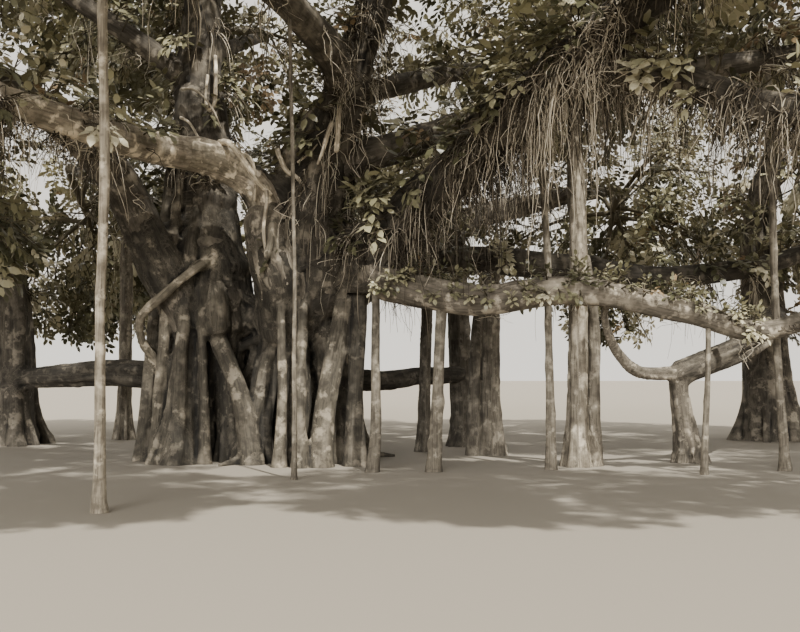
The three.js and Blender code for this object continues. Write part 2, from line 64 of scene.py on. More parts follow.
# Driving sizes of the solids, in metres
BELOW_GROUND = 0.3
FLARE_HEIGHT = 0.38
FOOT_FLARE = 0.45
CORE_HEIGHT = 3.15
COLUMN_RADIUS = 0.3
SURFACE_ROOT_LENGTH = 0.95
SURFACE_ROOT_RADIUS = 0.15
SURFACE_ROOT_EVERY = 4
COLLAR = 0.9
TRUNK_SEED = 7
PROP_SEED = 31
MASS_SEED = 101
SPACE_MARGIN = 0.015
SPRAY_LENGTH = 2.7
SPRAY_WIDTH = 2.0
SPRAY_WAIST = 0.4
SPRAY_SIZES = (1.0, 0.86, 0.73, 0.6, 0.5, 0.38)
STEM_TIP_RADIUS = 0.12
STEM_END = 0.3
BOUGHLETS = 5
BOUGHLET_REACHES = (0.76, 0.64, 0.52)
BOUGHLET_ANGLES = (2.1, 0.4)
BOUGHLET_ROOTS = (0.5, 0.94)


class BarkKind(Enum):
    """The three barks of the tree."""

    TRUNK = "fused_root_bark"
    BOUGH = "smooth_fig_bark"
    ROOT = "pale_root_bark"

    @property
    def slot(self) -> str:
        """The name of the record's material slot that goes with this bark."""
        return "root_bark" if self is BarkKind.ROOT else "bark"


class LeafTone(Enum):
    """The plain colours that sprays of leaves are dealt, with each one's share of the sprays."""

    DEEP = ("deep_leaf", "#54533d", 0.22)
    MIDDLE = ("middle_leaf", "#77745a", 0.34)
    LIGHT = ("light_leaf", "#9d987a", 0.28)
    FRESH = ("fresh_leaf", "#c4bda2", 0.13)
    DRY = ("dry_leaf", "#937f62", 0.03)


LEAF_SHARES = [tone.value[2] for tone in LeafTone]


class FibreMix(Enum):
    """Shares of the hanging roots of a bunch that are pale, brown and dark."""

    MIXED = (0.26, 0.4, 0.34)
    BRIGHT = (0.85, 0.15, 0.0)
    # Mostly dark: laid where roots hang in deep shade near the trunk, so painted shade on top of their own
    # darker tone
    DARK = (0.1, 0.36, 0.54)


class Framing(Enum):
    """Where the photograph was taken from, and how it was framed."""

    EYE = (2.65, -17.2, 1.5)
    FOCAL_PIXELS = 900.0
    WIDTH_PIXELS = 800.0
    HEIGHT_PIXELS = 632.0
    HORIZON_PIXEL = 380.0


class SeededRandom:
    """The same row of numbers as the solids use for the same seed."""

    WORD = 0xFFFFFFFF
    STEP = 0x6D2B79F5

    def __init__(self, seed: int) -> None:
        """Starts the row.

        Args:
            seed: whole number that picks the row.
        """
        self.state = seed & self.WORD

    def __call__(self) -> float:
        """Moves on along the row.

        Returns:
            The next number, from 0 up to 1.
        """
        self.state = (self.state + self.STEP) & self.WORD
        word = ((self.state ^ (self.state >> 15)) * (self.state | 1)) & self.WORD
        mixed = ((word ^ (word >> 7)) * (word | 61)) & self.WORD
        word ^= (word + mixed) & self.WORD
        return (word ^ (word >> 14)) / (self.WORD + 1)


def unit(vectors: Array) -> Array:
    """Returns the vectors, one a row, each at length one."""
    return vectors / np.maximum(np.linalg.norm(vectors, axis=-1, keepdims=True), 1e-9)


def turned(vector: Array, axis: Array, angle: float) -> Array:
    """Turns a vector round an axis.

    Args:
        vector: what is turned.
        axis: unit vector.
        angle: radians, by the right-hand rule.

    Returns:
        The turned vector.
    """
    across = np.cross(axis, vector) * math.sin(angle)
    return vector * math.cos(angle) + across + axis * (axis @ vector) * (1 - math.cos(angle))


class Route:
    """A smooth curve through points, measured along its length as the solids' curves are."""

    DIVISIONS = 200
    NUDGE = 0.002

    def __init__(self, points: Sequence[Sequence[float]]) -> None:
        """Measures the curve.

        Args:
            points: what the curve passes through, first to last.
        """
        self.points = np.asarray(points, float)
        self.steps = np.linspace(0, 1, self.DIVISIONS + 1)
        gaps = np.linalg.norm(np.diff(self._places(self.steps), axis=0), axis=1)
        self.lengths = np.concatenate([[0.0], np.cumsum(gaps)])

    @property
    def length(self) -> float:
        """The curve's whole length."""
        return float(self.lengths[-1])

    def _places(self, steps: Array) -> Array:
        """Places by the centripetal Catmull-Rom rule.

        Args:
            steps: from 0 at the first point to 1 at the last, unevenly spaced in length.

        Returns:
            One place a row.
        """
        points = self.points
        padded = np.vstack([2 * points[0] - points[1], points, 2 * points[-1] - points[-2]])
        spans = len(points) - 1
        place = np.clip(steps, 0, 1) * spans
        index = np.minimum(place.astype(int), spans - 1)
        weight = (place - index)[:, None]
        p0, p1, p2, p3 = (padded[index + k] for k in range(4))
        d0, d1, d2 = (
            np.sqrt(np.linalg.norm(b - a, axis=1))[:, None] for a, b in ((p0, p1), (p1, p2), (p2, p3))
        )
        leave = ((p1 - p0) / d0 - (p2 - p0) / (d0 + d1) + (p2 - p1) / d1) * d1
        reach = ((p2 - p1) / d1 - (p3 - p1) / (d1 + d2) + (p3 - p2) / d2) * d1
        square = 3 * (p2 - p1) - 2 * leave - reach
        cube = 2 * (p1 - p2) + leave + reach
        return p1 + weight * (leave + weight * (square + weight * cube))

    def at(self, shares: Array | float) -> Array:
        """Places along the curve.

        Args:
            shares: shares of its length, or one share.

        Returns:
            One row for each share, or one place.
        """
        asked = np.atleast_1d(np.asarray(shares, float))
        places = self._places(np.interp(asked * self.length, self.lengths, self.steps))
        return places if np.ndim(shares) else places[0]

    def ahead(self, shares: Array | float) -> Array:
        """Returns the unit directions of travel at shares of the length."""
        asked = np.asarray(shares, float)
        return unit(self.at(np.minimum(asked + self.NUDGE, 1)) - self.at(np.maximum(asked - self.NUDGE, 0)))

    @cached_property
    def _sides(self) -> Array:
        """One direction across the curve at each division, carried along without twist."""
        ahead = self.ahead(np.linspace(0, 1, self.DIVISIONS + 1))
        least = np.eye(3)[np.argmin(np.abs(ahead[0]))]
        sides = [unit(np.cross(ahead[0], least))]
        for direction in ahead[1:]:
            sides.append(unit(sides[-1] - direction * (sides[-1] @ direction)))
        return np.array(sides)

    def frames(self, shares: Array) -> Arrays:
        """Frames that don't twist along the curve.

        Args:
            shares: rising shares of the length.

        Returns:
            The directions ahead, and two across, one row for each share.
        """
        ahead = self.ahead(shares)
        nearest = np.round(np.asarray(shares) * self.DIVISIONS).astype(int)
        side = self._sides[nearest]
        side = unit(side - ahead * (side * ahead).sum(1, keepdims=True))
        return ahead, side, np.cross(ahead, side)

    def part(self, start: float, end: float, points: int = 6) -> "Route":
        """Returns a stretch of the curve, from one share of its length to another."""
        return Route(self.at(np.linspace(start, end, points)))


@dataclass(frozen=True)
class Limb:
    """One tapering limb: its name, its radii at root and tip, and the points that it runs through."""

    name: str
    radii: Pair
    path: tuple[Point, ...]
    start_on: tuple[str, float] | None = None
    foot: bool = False
    taper: float = 1.0

    def girth(self, shares: Array, heights: Array) -> Array:
        """Radii along the limb.

        Args:
            shares: shares of the limb's length.
            heights: height over the ground at each share.

        Returns:
            One radius for each share, wider near the ground on a limb that has a foot.
        """
        root, tip = self.radii
        plain = tip + (root - tip) * (1 - shares) ** self.taper
        if not self.foot:
            return plain
        return plain * (1 + FOOT_FLARE * np.exp(-np.maximum(heights, 0) / FLARE_HEIGHT))

    def route(self, start: Sequence[Array] = ()) -> Route:
        """Returns the limb's way, from a start on its parent, or from below the ground at a foot."""
        drop = [np.array(self.path[0]) - BELOW_GROUND * UP] if self.foot else []
        return Route([*start, *drop, *self.path])


@dataclass(frozen=True)
class Mass:
    """One mass of foliage: the bough it grows on from, its middle and its half-sizes."""

    name: str
    bough: str
    centre: Point
    reach: Point
    share: float | None = None
    boughlets: int = BOUGHLETS


@dataclass(frozen=True)
class Cluster:
    """One of the trunk's two clusters of fused roots round a core."""

    centre: Pair
    spread: Pair
    head: Pair
    core: Pair
    columns: int
    turn: float


@dataclass(frozen=True)
class Prop:
    """A root that stands on the ground and ends in the limb that it carries."""

    name: str
    foot: Pair
    limb: str
    share: float
    radii: Pair


@dataclass(frozen=True)
class Feature:
    """A root of the trunk that shows by itself: its radii, its way up and how pale it is, from -1 to 1."""

    radii: Pair
    path: tuple[Point, ...]
    tint: float
    foot: bool = True

    @property
    def limb(self) -> Limb:
        """The root as a limb."""
        return Limb("feature", self.radii, self.path, foot=self.foot)


@dataclass(frozen=True)
class Fringe:
    """Fine roots that hang along a stretch of a bough, and the node that they stand for, if there is one.

    The drape is how far up the bough's sides they may start, as a share of half a turn from its underside.
    """

    bough: str
    stretch: Pair
    drop: Pair
    strands: int
    drape: float = 0.6
    mix: FibreMix = FibreMix.MIXED
    radii: Pair = (0.006, 0.014)
    node: str = ""


@dataclass(frozen=True)
class Growth:
    """Tufts or leafy shoots along a stretch of a bough: how many, and a shoot's size in metres."""

    bough: str
    low: float
    high: float
    count: int
    size: float = 0.0


CLUSTERS = (
    Cluster((-1.08, 0.06), (0.78, 1.08), (-0.96, 0.04), (0.82, 0.7), 5, 0.55),
    Cluster((0.72, -0.04), (1.0, 1.18), (0.72, -0.22), (0.88, 0.64), 7, 0.3),
)

LIMBS = (
    Limb("left_leader", (0.74, 0.25),
         ((-0.85, 0, 2.2), (-1.05, 0, 4.2), (-1.15, 0.1, 6.2), (-1.2, 0.3, 8.7), (-0.9, 0.6, 10.6))),
    Limb("centre_stem", (0.6, 0.4),
         ((0.6, -0.25, 2.2), (0.56, -0.85, 3.2), (0.37, -1.08, 3.95), (0.29, -1.15, 4.75))),
    Limb("centre_bough", (0.54, 0.23),
         ((0.85, -0.35, 2.6), (1.15, -1, 4.3), (1.5, -1.4, 5.9), (1.85, -1.5, 7.1), (2.6, -1.9, 9.2))),
    Limb("right_front_bough", (0.5, 0.165),
         ((0.95, -0.5, 3), (2.6, -1.7, 4.15), (3.3, -2.2, 4.75), (4.7, -3.9, 5.8), (5.9, -5.6, 6.5),
          (7.4, -8, 7.3))),
    Limb("left_bough", (0.44, 0.14),
         ((-1.15, -0.4, 2.4), (-1.9, -0.9, 4), (-2.4, -1.4, 5.1), (-3.8, -2.2, 6.4), (-6.6, -3.4, 7.4))),
    Limb("left_front_bough", (0.31, 0.14),
         ((-0.5, -1.55, 5.3), (-1.4, -2.3, 5.35), (-1.95, -4, 5.2), (-2.9, -5.5, 5.3), (-4.6, -7.3, 6)),
         start_on=("centre_stem", 1)),
    Limb("right_low_bough", (0.33, 0.1),
         ((1, -0.8, 3.15), (1.8, -1.4, 3.45), (2.5, -1.9, 3.1), (3.8, -2.5, 2.8), (5.5, -2.8, 2.95),
          (7.2, -2.8, 2.6), (8.6, -2.7, 2.3), (10.5, -2.7, 3.2), (12, -2.9, 4.6)), taper=1.4),
    Limb("right_back_bough", (0.34, 0.12),
         ((0.9, 0.3, 3.1), (3.2, 0.8, 3.9), (6.2, 1, 3.75), (8.3, 1, 3.6), (10.6, 1.2, 4), (12.8, 1.8, 5.2))),
    Limb("right_bough", (0.3, 0.13),
         ((3.5, -1.2, 5.9), (5.5, -1.8, 6.4), (8, -2, 6.8), (11, -1.5, 7.4)),
         start_on=("centre_bough", 0.38)),
    Limb("right_front_side_bough", (0.24, 0.12),
         ((6.2, -5.3, 5.5), (7.4, -6.1, 4.85), (8.8, -6.6, 4.7), (10.2, -6.8, 5.2)),
         start_on=("right_front_bough", 0.58)),
    Limb("front_bough", (0.28, 0.12),
         ((0.9, -3.8, 7.2), (-0.6, -6.8, 7), (-1.6, -9.3, 7.2)), start_on=("centre_bough", 0.6)),
    Limb("back_bough", (0.42, 0.14), ((0.2, 0.5, 2.5), (0.6, 3.2, 5), (1.2, 6, 6.3), (1.6, 8, 7))),
    Limb("back_left_bough", (0.38, 0.13),
         ((-0.9, 0.5, 2.6), (-2.6, 3, 5), (-4.6, 5.6, 6.4), (-6.2, 7.4, 7.2))),
    Limb("back_right_bough", (0.42, 0.14),
         ((0.9, 0.5, 2.5), (3, 2.8, 4.6), (5.8, 4.8, 5.8), (8.2, 7.2, 6.6))),
    Limb("upper_left_bough", (0.23, 0.11),
         ((-3, -0.6, 8.3), (-4.8, -1.2, 9.3)), start_on=("left_leader", 0.56)),
    Limb("upper_back_bough", (0.23, 0.11),
         ((-0.9, 2.4, 8.8), (-0.7, 3.9, 9.5)), start_on=("left_leader", 0.64)),
    Limb("upper_right_bough", (0.24, 0.12),
         ((3.4, 0.6, 7.5), (5, 2.2, 8.3)), start_on=("centre_bough", 0.55)),
    Limb("right_outer_trunk", (0.56, 0.24),
         ((11.9, 5.3, 0), (11.7, 5.2, 3), (11.5, 5, 5.5), (11.8, 4.9, 7)), foot=True),
    Limb("left_outer_trunk", (0.5, 0.19),
         ((-6.45, 3.8, 0), (-6.3, 3.6, 3), (-6.6, 3.4, 5.2), (-7.2, 3.1, 6.6)), foot=True),
    Limb("right_curved_bough", (0.3, 0.17),
         ((10.6, 1.8, 2.75), (9.3, -0.3, 2.3), (8.3, -0.9, 1.8), (7.6, -1, 1.62)),
         start_on=("right_outer_trunk", 0.4)),
    Limb("left_low_bough", (0.28, 0.18),
         ((-0.9, 0.7, 1.45), (-3.2, 1.8, 1.65), (-5, 2.9, 1.6), (-6.4, 3.7, 1.5))),
    Limb("low_beam", (0.21, 0.17), ((0.9, 0.8, 1.6), (2.2, 1.25, 1.48), (3.15, 2.2, 1.6), (4.05, 3.2, 1.62))),
)

BEND_COLUMN = Limb("bend_root", (0.19, 0.13),
                   ((7.93, -0.8, 0), (7.76, -0.9, 0.9), (7.64, -0.98, 1.64)), foot=True)
BEND_SHOOT = Limb("bend_shoot", (0.115, 0.07),
                  ((7.64, -0.98, 1.64), (6.85, -1.4, 1.64), (6.4, -1.7, 1.95), (6.05, -2.2, 2.5),
                   (6, -2.78, 2.85)))

PROPS = (
    Prop("prop_root_front_left", (-0.78, -7), "front_bough", 0.715, (0.062, 0.046)),
    Prop("prop_root_front_slim", (1.05, -3.65), "front_bough", 0.275, (0.034, 0.024)),
    Prop("prop_root_near_trunk", (2.23, -2.55), "right_low_bough", 0.13, (0.085, 0.065)),
    Prop("prop_root_low_left", (3.25, -2.5), "right_low_bough", 0.235, (0.105, 0.085)),
    Prop("prop_root_mid_back", (3.15, 1.7), "right_back_bough", 0.2, (0.12, 0.095)),
    Prop("prop_root_thick_right", (4.45, 0.9), "right_back_bough", 0.3, (0.23, 0.18)),
    Prop("prop_root_thick_back", (4.15, 3.3), "back_right_bough", 0.46, (0.27, 0.19)),
    Prop("prop_root_leaning", (5.17, -2.15), "right_bough", 0.395, (0.072, 0.05)),
    Prop("prop_root_bright", (5.74, -1.55), "right_bough", 0.455, (0.175, 0.12)),
    Prop("prop_root_slim_right", (7.48, -2.9), "right_low_bough", 0.585, (0.052, 0.038)),
    Prop("prop_root_right_edge", (9, -2.3), "right_bough", 0.785, (0.07, 0.048)),
    Prop("prop_root_back_left", (-4.3, 5.5), "back_left_bough", 0.66, (0.17, 0.11)),
)

CURTAINS = (
    Fringe("right_front_bough", (0.42, 0.68), (1.5, 2.7), 330, node="root_curtain_right"),
    # The centre curtain takes the dark mix: painted shade for roots that hang in shadow
    Fringe("right_front_bough", (0.16, 0.34), (0.9, 1.9), 240, mix=FibreMix.DARK, node="root_curtain_centre"),
    Fringe("right_front_side_bough", (0.24, 0.7), (0.7, 1.5), 260, node="root_curtain_outer"),
    Fringe("left_front_bough", (0.5, 0.85), (0.7, 1.5), 160, node="root_curtain_left"),
)

TUFTS = (
    Growth("right_front_bough", 0.12, 0.85, 34),
    Growth("centre_bough", 0.25, 0.85, 18),
    Growth("right_bough", 0.1, 0.9, 12),
    Growth("right_front_side_bough", 0.1, 0.8, 8),
    Growth("left_leader", 0.3, 0.8, 8),
    Growth("left_bough", 0.4, 0.9, 6),
    Growth("left_front_bough", 0.4, 0.9, 5),
    Growth("right_back_bough", 0.2, 0.9, 8),
)

SHAGS = (
    Fringe("right_front_bough", (0.1, 0.82), (0.5, 1.3), 480, 0.85),
    # A dark stretch: painted shade for roots that hang in shadow
    Fringe("right_front_bough", (0.34, 0.43), (1.6, 2.3), 150, 0.4, FibreMix.DARK),
    Fringe("right_front_bough", (0.54, 0.65), (1.5, 2.1), 64, 0.6, FibreMix.BRIGHT, (0.009, 0.02)),
    Fringe("right_front_side_bough", (0.1, 0.85), (0.7, 1.5), 260, 0.85),
    Fringe("centre_bough", (0.22, 0.8), (0.5, 1.5), 380, 0.85),
    Fringe("right_bough", (0.08, 0.9), (0.5, 1.8), 260, 0.7),
    Fringe("left_front_bough", (0.12, 0.9), (0.25, 0.8), 120, 0.5),
    Fringe("left_bough", (0.3, 0.9), (0.5, 1.9), 120),
    Fringe("front_bough", (0.1, 0.9), (0.5, 1.6), 90),
    Fringe("right_low_bough", (0.14, 0.9), (0.15, 0.5), 110),
    Fringe("right_back_bough", (0.15, 0.9), (0.3, 1.2), 130),
    Fringe("back_bough", (0.3, 0.9), (0.5, 1.6), 80),
    Fringe("back_left_bough", (0.3, 0.9), (0.5, 1.8), 90),
    Fringe("back_right_bough", (0.3, 0.9), (0.5, 1.8), 110),
    Fringe("upper_right_bough", (0.1, 0.9), (0.6, 2.2), 70),
    Fringe("upper_left_bough", (0.1, 0.9), (0.6, 2.0), 60),
)

SHOOTS = (
    Growth("left_leader", 0.28, 0.85, 34, 0.5),
    Growth("centre_bough", 0.2, 0.85, 52, 0.55),
    Growth("right_front_bough", 0.14, 0.5, 44, 0.5),
    Growth("right_front_bough", 0.5, 0.95, 60, 0.75),
    Growth("left_bough", 0.4, 0.95, 26, 0.55),
    Growth("left_front_bough", 0.3, 0.95, 40, 0.5),
    Growth("right_low_bough", 0.15, 0.66, 120, 0.26),
    Growth("right_bough", 0.1, 0.9, 30, 0.55),
    Growth("right_front_side_bough", 0.1, 0.9, 16, 0.5),
    Growth("right_back_bough", 0.15, 0.9, 34, 0.5),
    Growth("front_bough", 0.1, 0.9, 14, 0.55),
    Growth("back_bough", 0.25, 0.95, 22, 0.55),
    Growth("back_bough", 0.14, 0.5, 34, 0.7),
    Growth("back_left_bough", 0.25, 0.95, 26, 0.6),
    Growth("back_left_bough", 0.12, 0.4, 24, 0.7),
    Growth("back_right_bough", 0.25, 0.95, 30, 0.6),
    Growth("upper_left_bough", 0.1, 0.9, 12, 0.6),
    Growth("upper_back_bough", 0.1, 0.9, 12, 0.6),
    Growth("upper_right_bough", 0.1, 0.9, 14, 0.6),
    Growth("left_outer_trunk", 0.5, 0.95, 16, 0.6),
    Growth("right_outer_trunk", 0.4, 0.95, 22, 0.6),
)

MASSES = (
    Mass("foliage_top", "left_leader", (-0.6, 0.6, 12), (4.1, 3.9, 2.3)),
    Mass("foliage_centre", "centre_bough", (4.3, -2.9, 10.4), (4.4, 3.7, 2.4)),
    Mass("foliage_left_front", "left_front_bough", (-5.7, -8.7, 6.9), (4.2, 3.8, 2.6)),
    Mass("foliage_left", "left_bough", (-8.7, -4, 7.5), (4, 4.1, 3.3)),
    Mass("foliage_left_outer", "left_outer_trunk", (-9, 2.8, 6.6), (3.7, 4, 4)),
    Mass("foliage_back_left", "back_left_bough", (-6.4, 8.9, 6.2), (4.2, 3.9, 4)),
    Mass("foliage_back", "back_bough", (1.6, 9.8, 7.2), (4.5, 3.9, 3.8)),
    Mass("foliage_back_right", "back_right_bough", (8.9, 9.2, 6.4), (4.4, 3.9, 4)),
    Mass("foliage_right_outer", "right_outer_trunk", (13, 5, 7.2), (3.7, 4.3, 3.9)),
    Mass("foliage_right_back", "right_back_bough", (14, 0.4, 6.6), (3.3, 3.6, 3.9)),
    Mass("foliage_right", "right_bough", (10.4, -1.4, 9.3), (4.2, 4, 2.8)),
    Mass("foliage_right_low", "right_low_bough", (13.2, -4.6, 5.6), (3.5, 3.2, 3.1)),
    Mass("foliage_right_side", "right_front_side_bough", (11.1, -8.4, 6.4), (3.7, 3.4, 2.7)),
    Mass("foliage_right_front", "right_front_bough", (6.8, -9.4, 8.1), (3.9, 3.5, 2.4)),
    Mass("foliage_front", "front_bough", (-0.3, -10.2, 8), (4.2, 3.1, 2.4)),
    Mass("foliage_upper_left", "upper_left_bough", (-5.7, -1.4, 10.2), (4.2, 4, 2.5)),
    Mass("foliage_upper_back", "upper_back_bough", (-2.7, 5.3, 10.4), (4.4, 3.8, 2.5)),
    Mass("foliage_upper_right", "upper_right_bough", (6.5, 4.2, 9.8), (4.7, 4.1, 2.8)),
    Mass("foliage_upper_front", "front_bough", (-0.9, -5.7, 9.7), (4.2, 3.5, 2.4), share=0.42),
    Mass("foliage_left_hanging", "left_bough", (-4.6, -3, 4.3), (2, 2, 1.6), share=0.62, boughlets=3),
)


def linear(code: str) -> tuple[float, float, float, float]:
    """Turns an sRGB hex colour to a linear one.

    Args:
        code: such as "#7b7062".

    Returns:
        Red, green, blue and alpha.
    """
    parts = [int(code[i:i + 2], 16) / 255 for i in (1, 3, 5)]
    bent = [c / 12.92 if c <= 0.04045 else ((c + 0.055) / 1.055) ** 2.4 for c in parts]
    return (*bent, 1.0)


def add_node(
    tree: bpy.types.NodeTree,
    kind: str,
    settings: dict[str | int, object] | None = None,
    links: dict[str | int, bpy.types.NodeSocket] | None = None,
) -> bpy.types.Node:
    """Adds a node with its settings and links.

    Args:
        tree: the node tree it joins.
        kind: Blender's name for the kind of node, after its first words.
        settings: values by the name of a property, or of an input socket.
        links: what feeds each input socket.

    Returns:
        The new node.
    """
    node = tree.nodes.new(f"ShaderNode{kind}")
    for key, value in (settings or {}).items():
        if isinstance(key, str) and hasattr(node, key):
            setattr(node, key, value)
        else:
            node.inputs[key].default_value = value
    for key, source in (links or {}).items():
        tree.links.new(source, node.inputs[key])
    return node


def new_material(name: str) -> bpy.types.Material:
    """Makes a material with an empty node tree.

    Args:
        name: its name.

    Returns:
        The material.
    """
    material = bpy.data.materials.new(name)
    material.use_nodes = True
    material.node_tree.nodes.clear()
    return material


@dataclass(frozen=True)
class BarkFinish:
    """Bark of a fig: skin that follows each root or bough, pale on its backs and darkened in its folds by
    painted shade.

    The grain attribute gives a point's place in its own limb, two ways across and one along, so that
    streaks run with every limb. The attribute that marks folds is 1 in folds and 0 on backs, and sets where
    the fold colour darkens the bark as painted shade; the tint attribute is how much paler or darker a root
    is than the rest, from -1 to 1.
    """

    kind: BarkKind
    skin: str
    dark: str
    pale: str
    # The colour of the painted shade that darkens the folds
    fold: str
    patch_mm: float = 420.0
    blotch_mm: float = 255.0
    streak_mm: float = 34.0
    streak_length_mm: float = 420.0
    grit_mm: float = 44.0
    relief_mm: float = 14.0
    grit_in_relief: float = 0.35
    tint_gain: float = 2.3
    roughness: Pair = (0.76, 0.96)

    # A pattern's values where its colour starts and where it is full, and the colour's share there
    STREAKS = (0.42, 0.66, 1.0)
    PATCHES = (0.5, 0.68, 0.45)
    LICHEN = (0.54, 0.64, 0.7)
    STAINS = (0.46, 0.36, 0.75)
    # Painted shade: how far the folds darken towards the fold colour
    SHADE_IN_FOLDS = (0.1, 0.7, 0.92)

    def laid_over(
        self,
        tree: bpy.types.NodeTree,
        below: bpy.types.NodeSocket | None,
        pattern: bpy.types.NodeSocket,
        span: Point,
        colour: str,
    ) -> bpy.types.NodeSocket:
        """Lays a colour over the bark where a pattern is strong.

        Args:
            tree: the material's nodes.
            below: the colour that it lies on, or None for the plain skin.
            pattern: the pattern's value.
            span: its values where the colour starts and where it is full, and the colour's share there.
            colour: sRGB hex colour.

        Returns:
            The mixed colour.
        """
        start, full, most = span
        share = add_node(tree, "MapRange", {"From Min": start, "From Max": full, "To Max": most},
                         {"Value": pattern})
        links = {0: share.outputs["Result"]}
        if below:
            links[6] = below
        return add_node(tree, "Mix", {"data_type": "RGBA", 6: linear(self.skin), 7: linear(colour)},
                        links).outputs[2]

    def material(self) -> bpy.types.Material:
        """Makes the finish.

        Returns:
            The material.
        """
        material = new_material(self.kind.value)
        tree = material.node_tree
        grain = add_node(tree, "Attribute", {"attribute_name": "grain"}).outputs["Vector"]
        painted_shade = add_node(tree, "Attribute", {"attribute_name": "painted_shade"}).outputs["Fac"]
        tint = add_node(tree, "Attribute", {"attribute_name": "tint"}).outputs["Fac"]
        across, along = 1000 / self.streak_mm, 1000 / self.streak_length_mm
        drawn_out = add_node(tree, "Mapping", {"Scale": (across, across, along)}, {"Vector": grain})
        streak, patch, blotch, grit = (
            add_node(tree, "TexNoise", {"Scale": scale, "Detail": detail, "Roughness": roughness},
                     {"Vector": source}).outputs["Fac"]
            for scale, detail, roughness, source in (
                (1.0, 5.0, 0.62, drawn_out.outputs["Vector"]),
                (1000 / self.patch_mm, 4.0, 0.5, grain),
                (1000 / self.blotch_mm, 5.0, 0.6, grain),
                (1000 / self.grit_mm, 3.0, 0.5, grain),
            )
        )
        colour = None
        for pattern, span, hue in (
            (streak, self.STREAKS, self.dark),
            (patch, self.PATCHES, self.pale),
            (blotch, self.LICHEN, self.pale),
            (blotch, self.STAINS, self.dark),
        ):
            colour = self.laid_over(tree, colour, pattern, span, hue)
        gain = add_node(tree, "Math", {"operation": "POWER", 0: self.tint_gain}, {1: tint})
        toned = add_node(tree, "VectorMath", {"operation": "SCALE"}, {0: colour, "Scale": gain.outputs[0]})
        # Painted shade: folds darkened towards the near-black fold colour, where shade would fall in them
        shaded = self.laid_over(tree, toned.outputs[0], painted_shade, self.SHADE_IN_FOLDS, self.fold)
        rough = add_node(tree, "MapRange", {"To Min": self.roughness[0], "To Max": self.roughness[1]},
                         {"Value": grit})
        height = add_node(tree, "Mix", {"data_type": "FLOAT", 0: self.grit_in_relief}, {2: streak, 3: grit})
        bump = add_node(tree, "Bump", {"Strength": 0.9, "Distance": self.relief_mm / 1000},
                        {"Height": height.outputs[0]})
        shader = add_node(tree, "BsdfPrincipled", {"IOR": 1.45},
                          {"Base Color": shaded, "Roughness": rough.outputs["Result"],
                           "Normal": bump.outputs["Normal"]})
        add_node(tree, "OutputMaterial", links={"Surface": shader.outputs["BSDF"]})
        return material


@dataclass(frozen=True)
class PlainFinish:
    """One plain colour: for leaves, twigs and fine roots, which are too small to show a pattern."""

    name: str
    colour: str
    roughness: float

    def material(self) -> bpy.types.Material:
        """Makes the finish.

        Returns:
            The material.
        """
        material = new_material(self.name)
        tree = material.node_tree
        shader = add_node(tree, "BsdfPrincipled",
                          {"Base Color": linear(self.colour), "Roughness": self.roughness, "IOR": 1.45})
        add_node(tree, "OutputMaterial", links={"Surface": shader.outputs["BSDF"]})
        return material


class Finishes:
    """All the finishes of the tree, made once."""

    def __init__(self) -> None:
        """Makes every material."""
        self.bark = {
            # Weathered skin over fused roots: dark grey-brown with pale worn backs, and deep folds darkened
            # near black by painted shade
            BarkKind.TRUNK: BarkFinish(BarkKind.TRUNK, "#4c473d", "#2e2a23", "#938a7a", "#0c0a07").material(),
            # Smooth fig bark: lighter, with long faint streaks, and near-black painted shade in its folds
            BarkKind.BOUGH: BarkFinish(BarkKind.BOUGH, "#534d44", "#332f27", "#9a9181", "#0e0c09",
                                       patch_mm=560, relief_mm=10).material(),
            # Young root bark: pale and even, with a dark brown painted shade in its folds
            BarkKind.ROOT: BarkFinish(BarkKind.ROOT, "#716a5d", "#453f36", "#aea594", "#191612",
                                      patch_mm=300, streak_mm=22, relief_mm=6).material(),
        }
        # Waxy fig leaves: a soft gloss over muted greens, palest where they are young
        self.leaves = [PlainFinish(*tone.value[:2], 0.36).material() for tone in LeafTone]
        # Young twig bark: dull brown, so that twigs sink behind the leaves
        self.twig = PlainFinish("twig_bark", "#57503f", 0.8).material()
        # Dry aerial roots, from young and pale to old and dark, so that single strands show; the dark one
        # also paints the shade among hanging roots
        self.fibres = [
            PlainFinish("hanging_root_pale", "#d6ccb8", 0.8).material(),
            PlainFinish("hanging_root_brown", "#756c5d", 0.85).material(),
            PlainFinish("hanging_root_dark", "#39332a", 0.85).material(),
        ]


def deselect_all() -> None:
    """Leaves nothing selected, in object mode."""
    if bpy.context.object and bpy.context.object.mode != "OBJECT":
        bpy.ops.object.mode_set(mode="OBJECT")
    bpy.ops.object.select_all(action="DESELECT")


def take_up(pieces: Sequence[Piece]) -> None:
    """Makes pieces the only selected ones, and the first of them the active one.

    Args:
        pieces: what is worked on next.
    """
    deselect_all()
    for piece in pieces:
        piece.select_set(True)
    bpy.context.view_layer.objects.active = pieces[0]


def with_modifier(piece: Piece, kind: str, settings: dict[str, object]) -> None:
    """Adds a modifier to a piece, sets it and applies it.

    Args:
        piece: what it shapes.
        kind: Blender's name for the modifier.
        settings: values by the names of its properties.
    """
    take_up([piece])
    bpy.ops.object.modifier_add(type=kind)
    modifier = piece.modifiers[-1]
    for key, value in settings.items():
        setattr(modifier, key, value)
    bpy.ops.object.modifier_apply(modifier=modifier.name)


def joined(pieces: Sequence[Piece], name: str) -> Piece:
    """Joins pieces into the first one.

    Args:
        pieces: what is joined.
        name: the name of the whole.

    Returns:
        The whole.
    """
    take_up(pieces)
    bpy.ops.object.join()
    whole = bpy.context.object
    whole.name = whole.data.name = name
    return whole


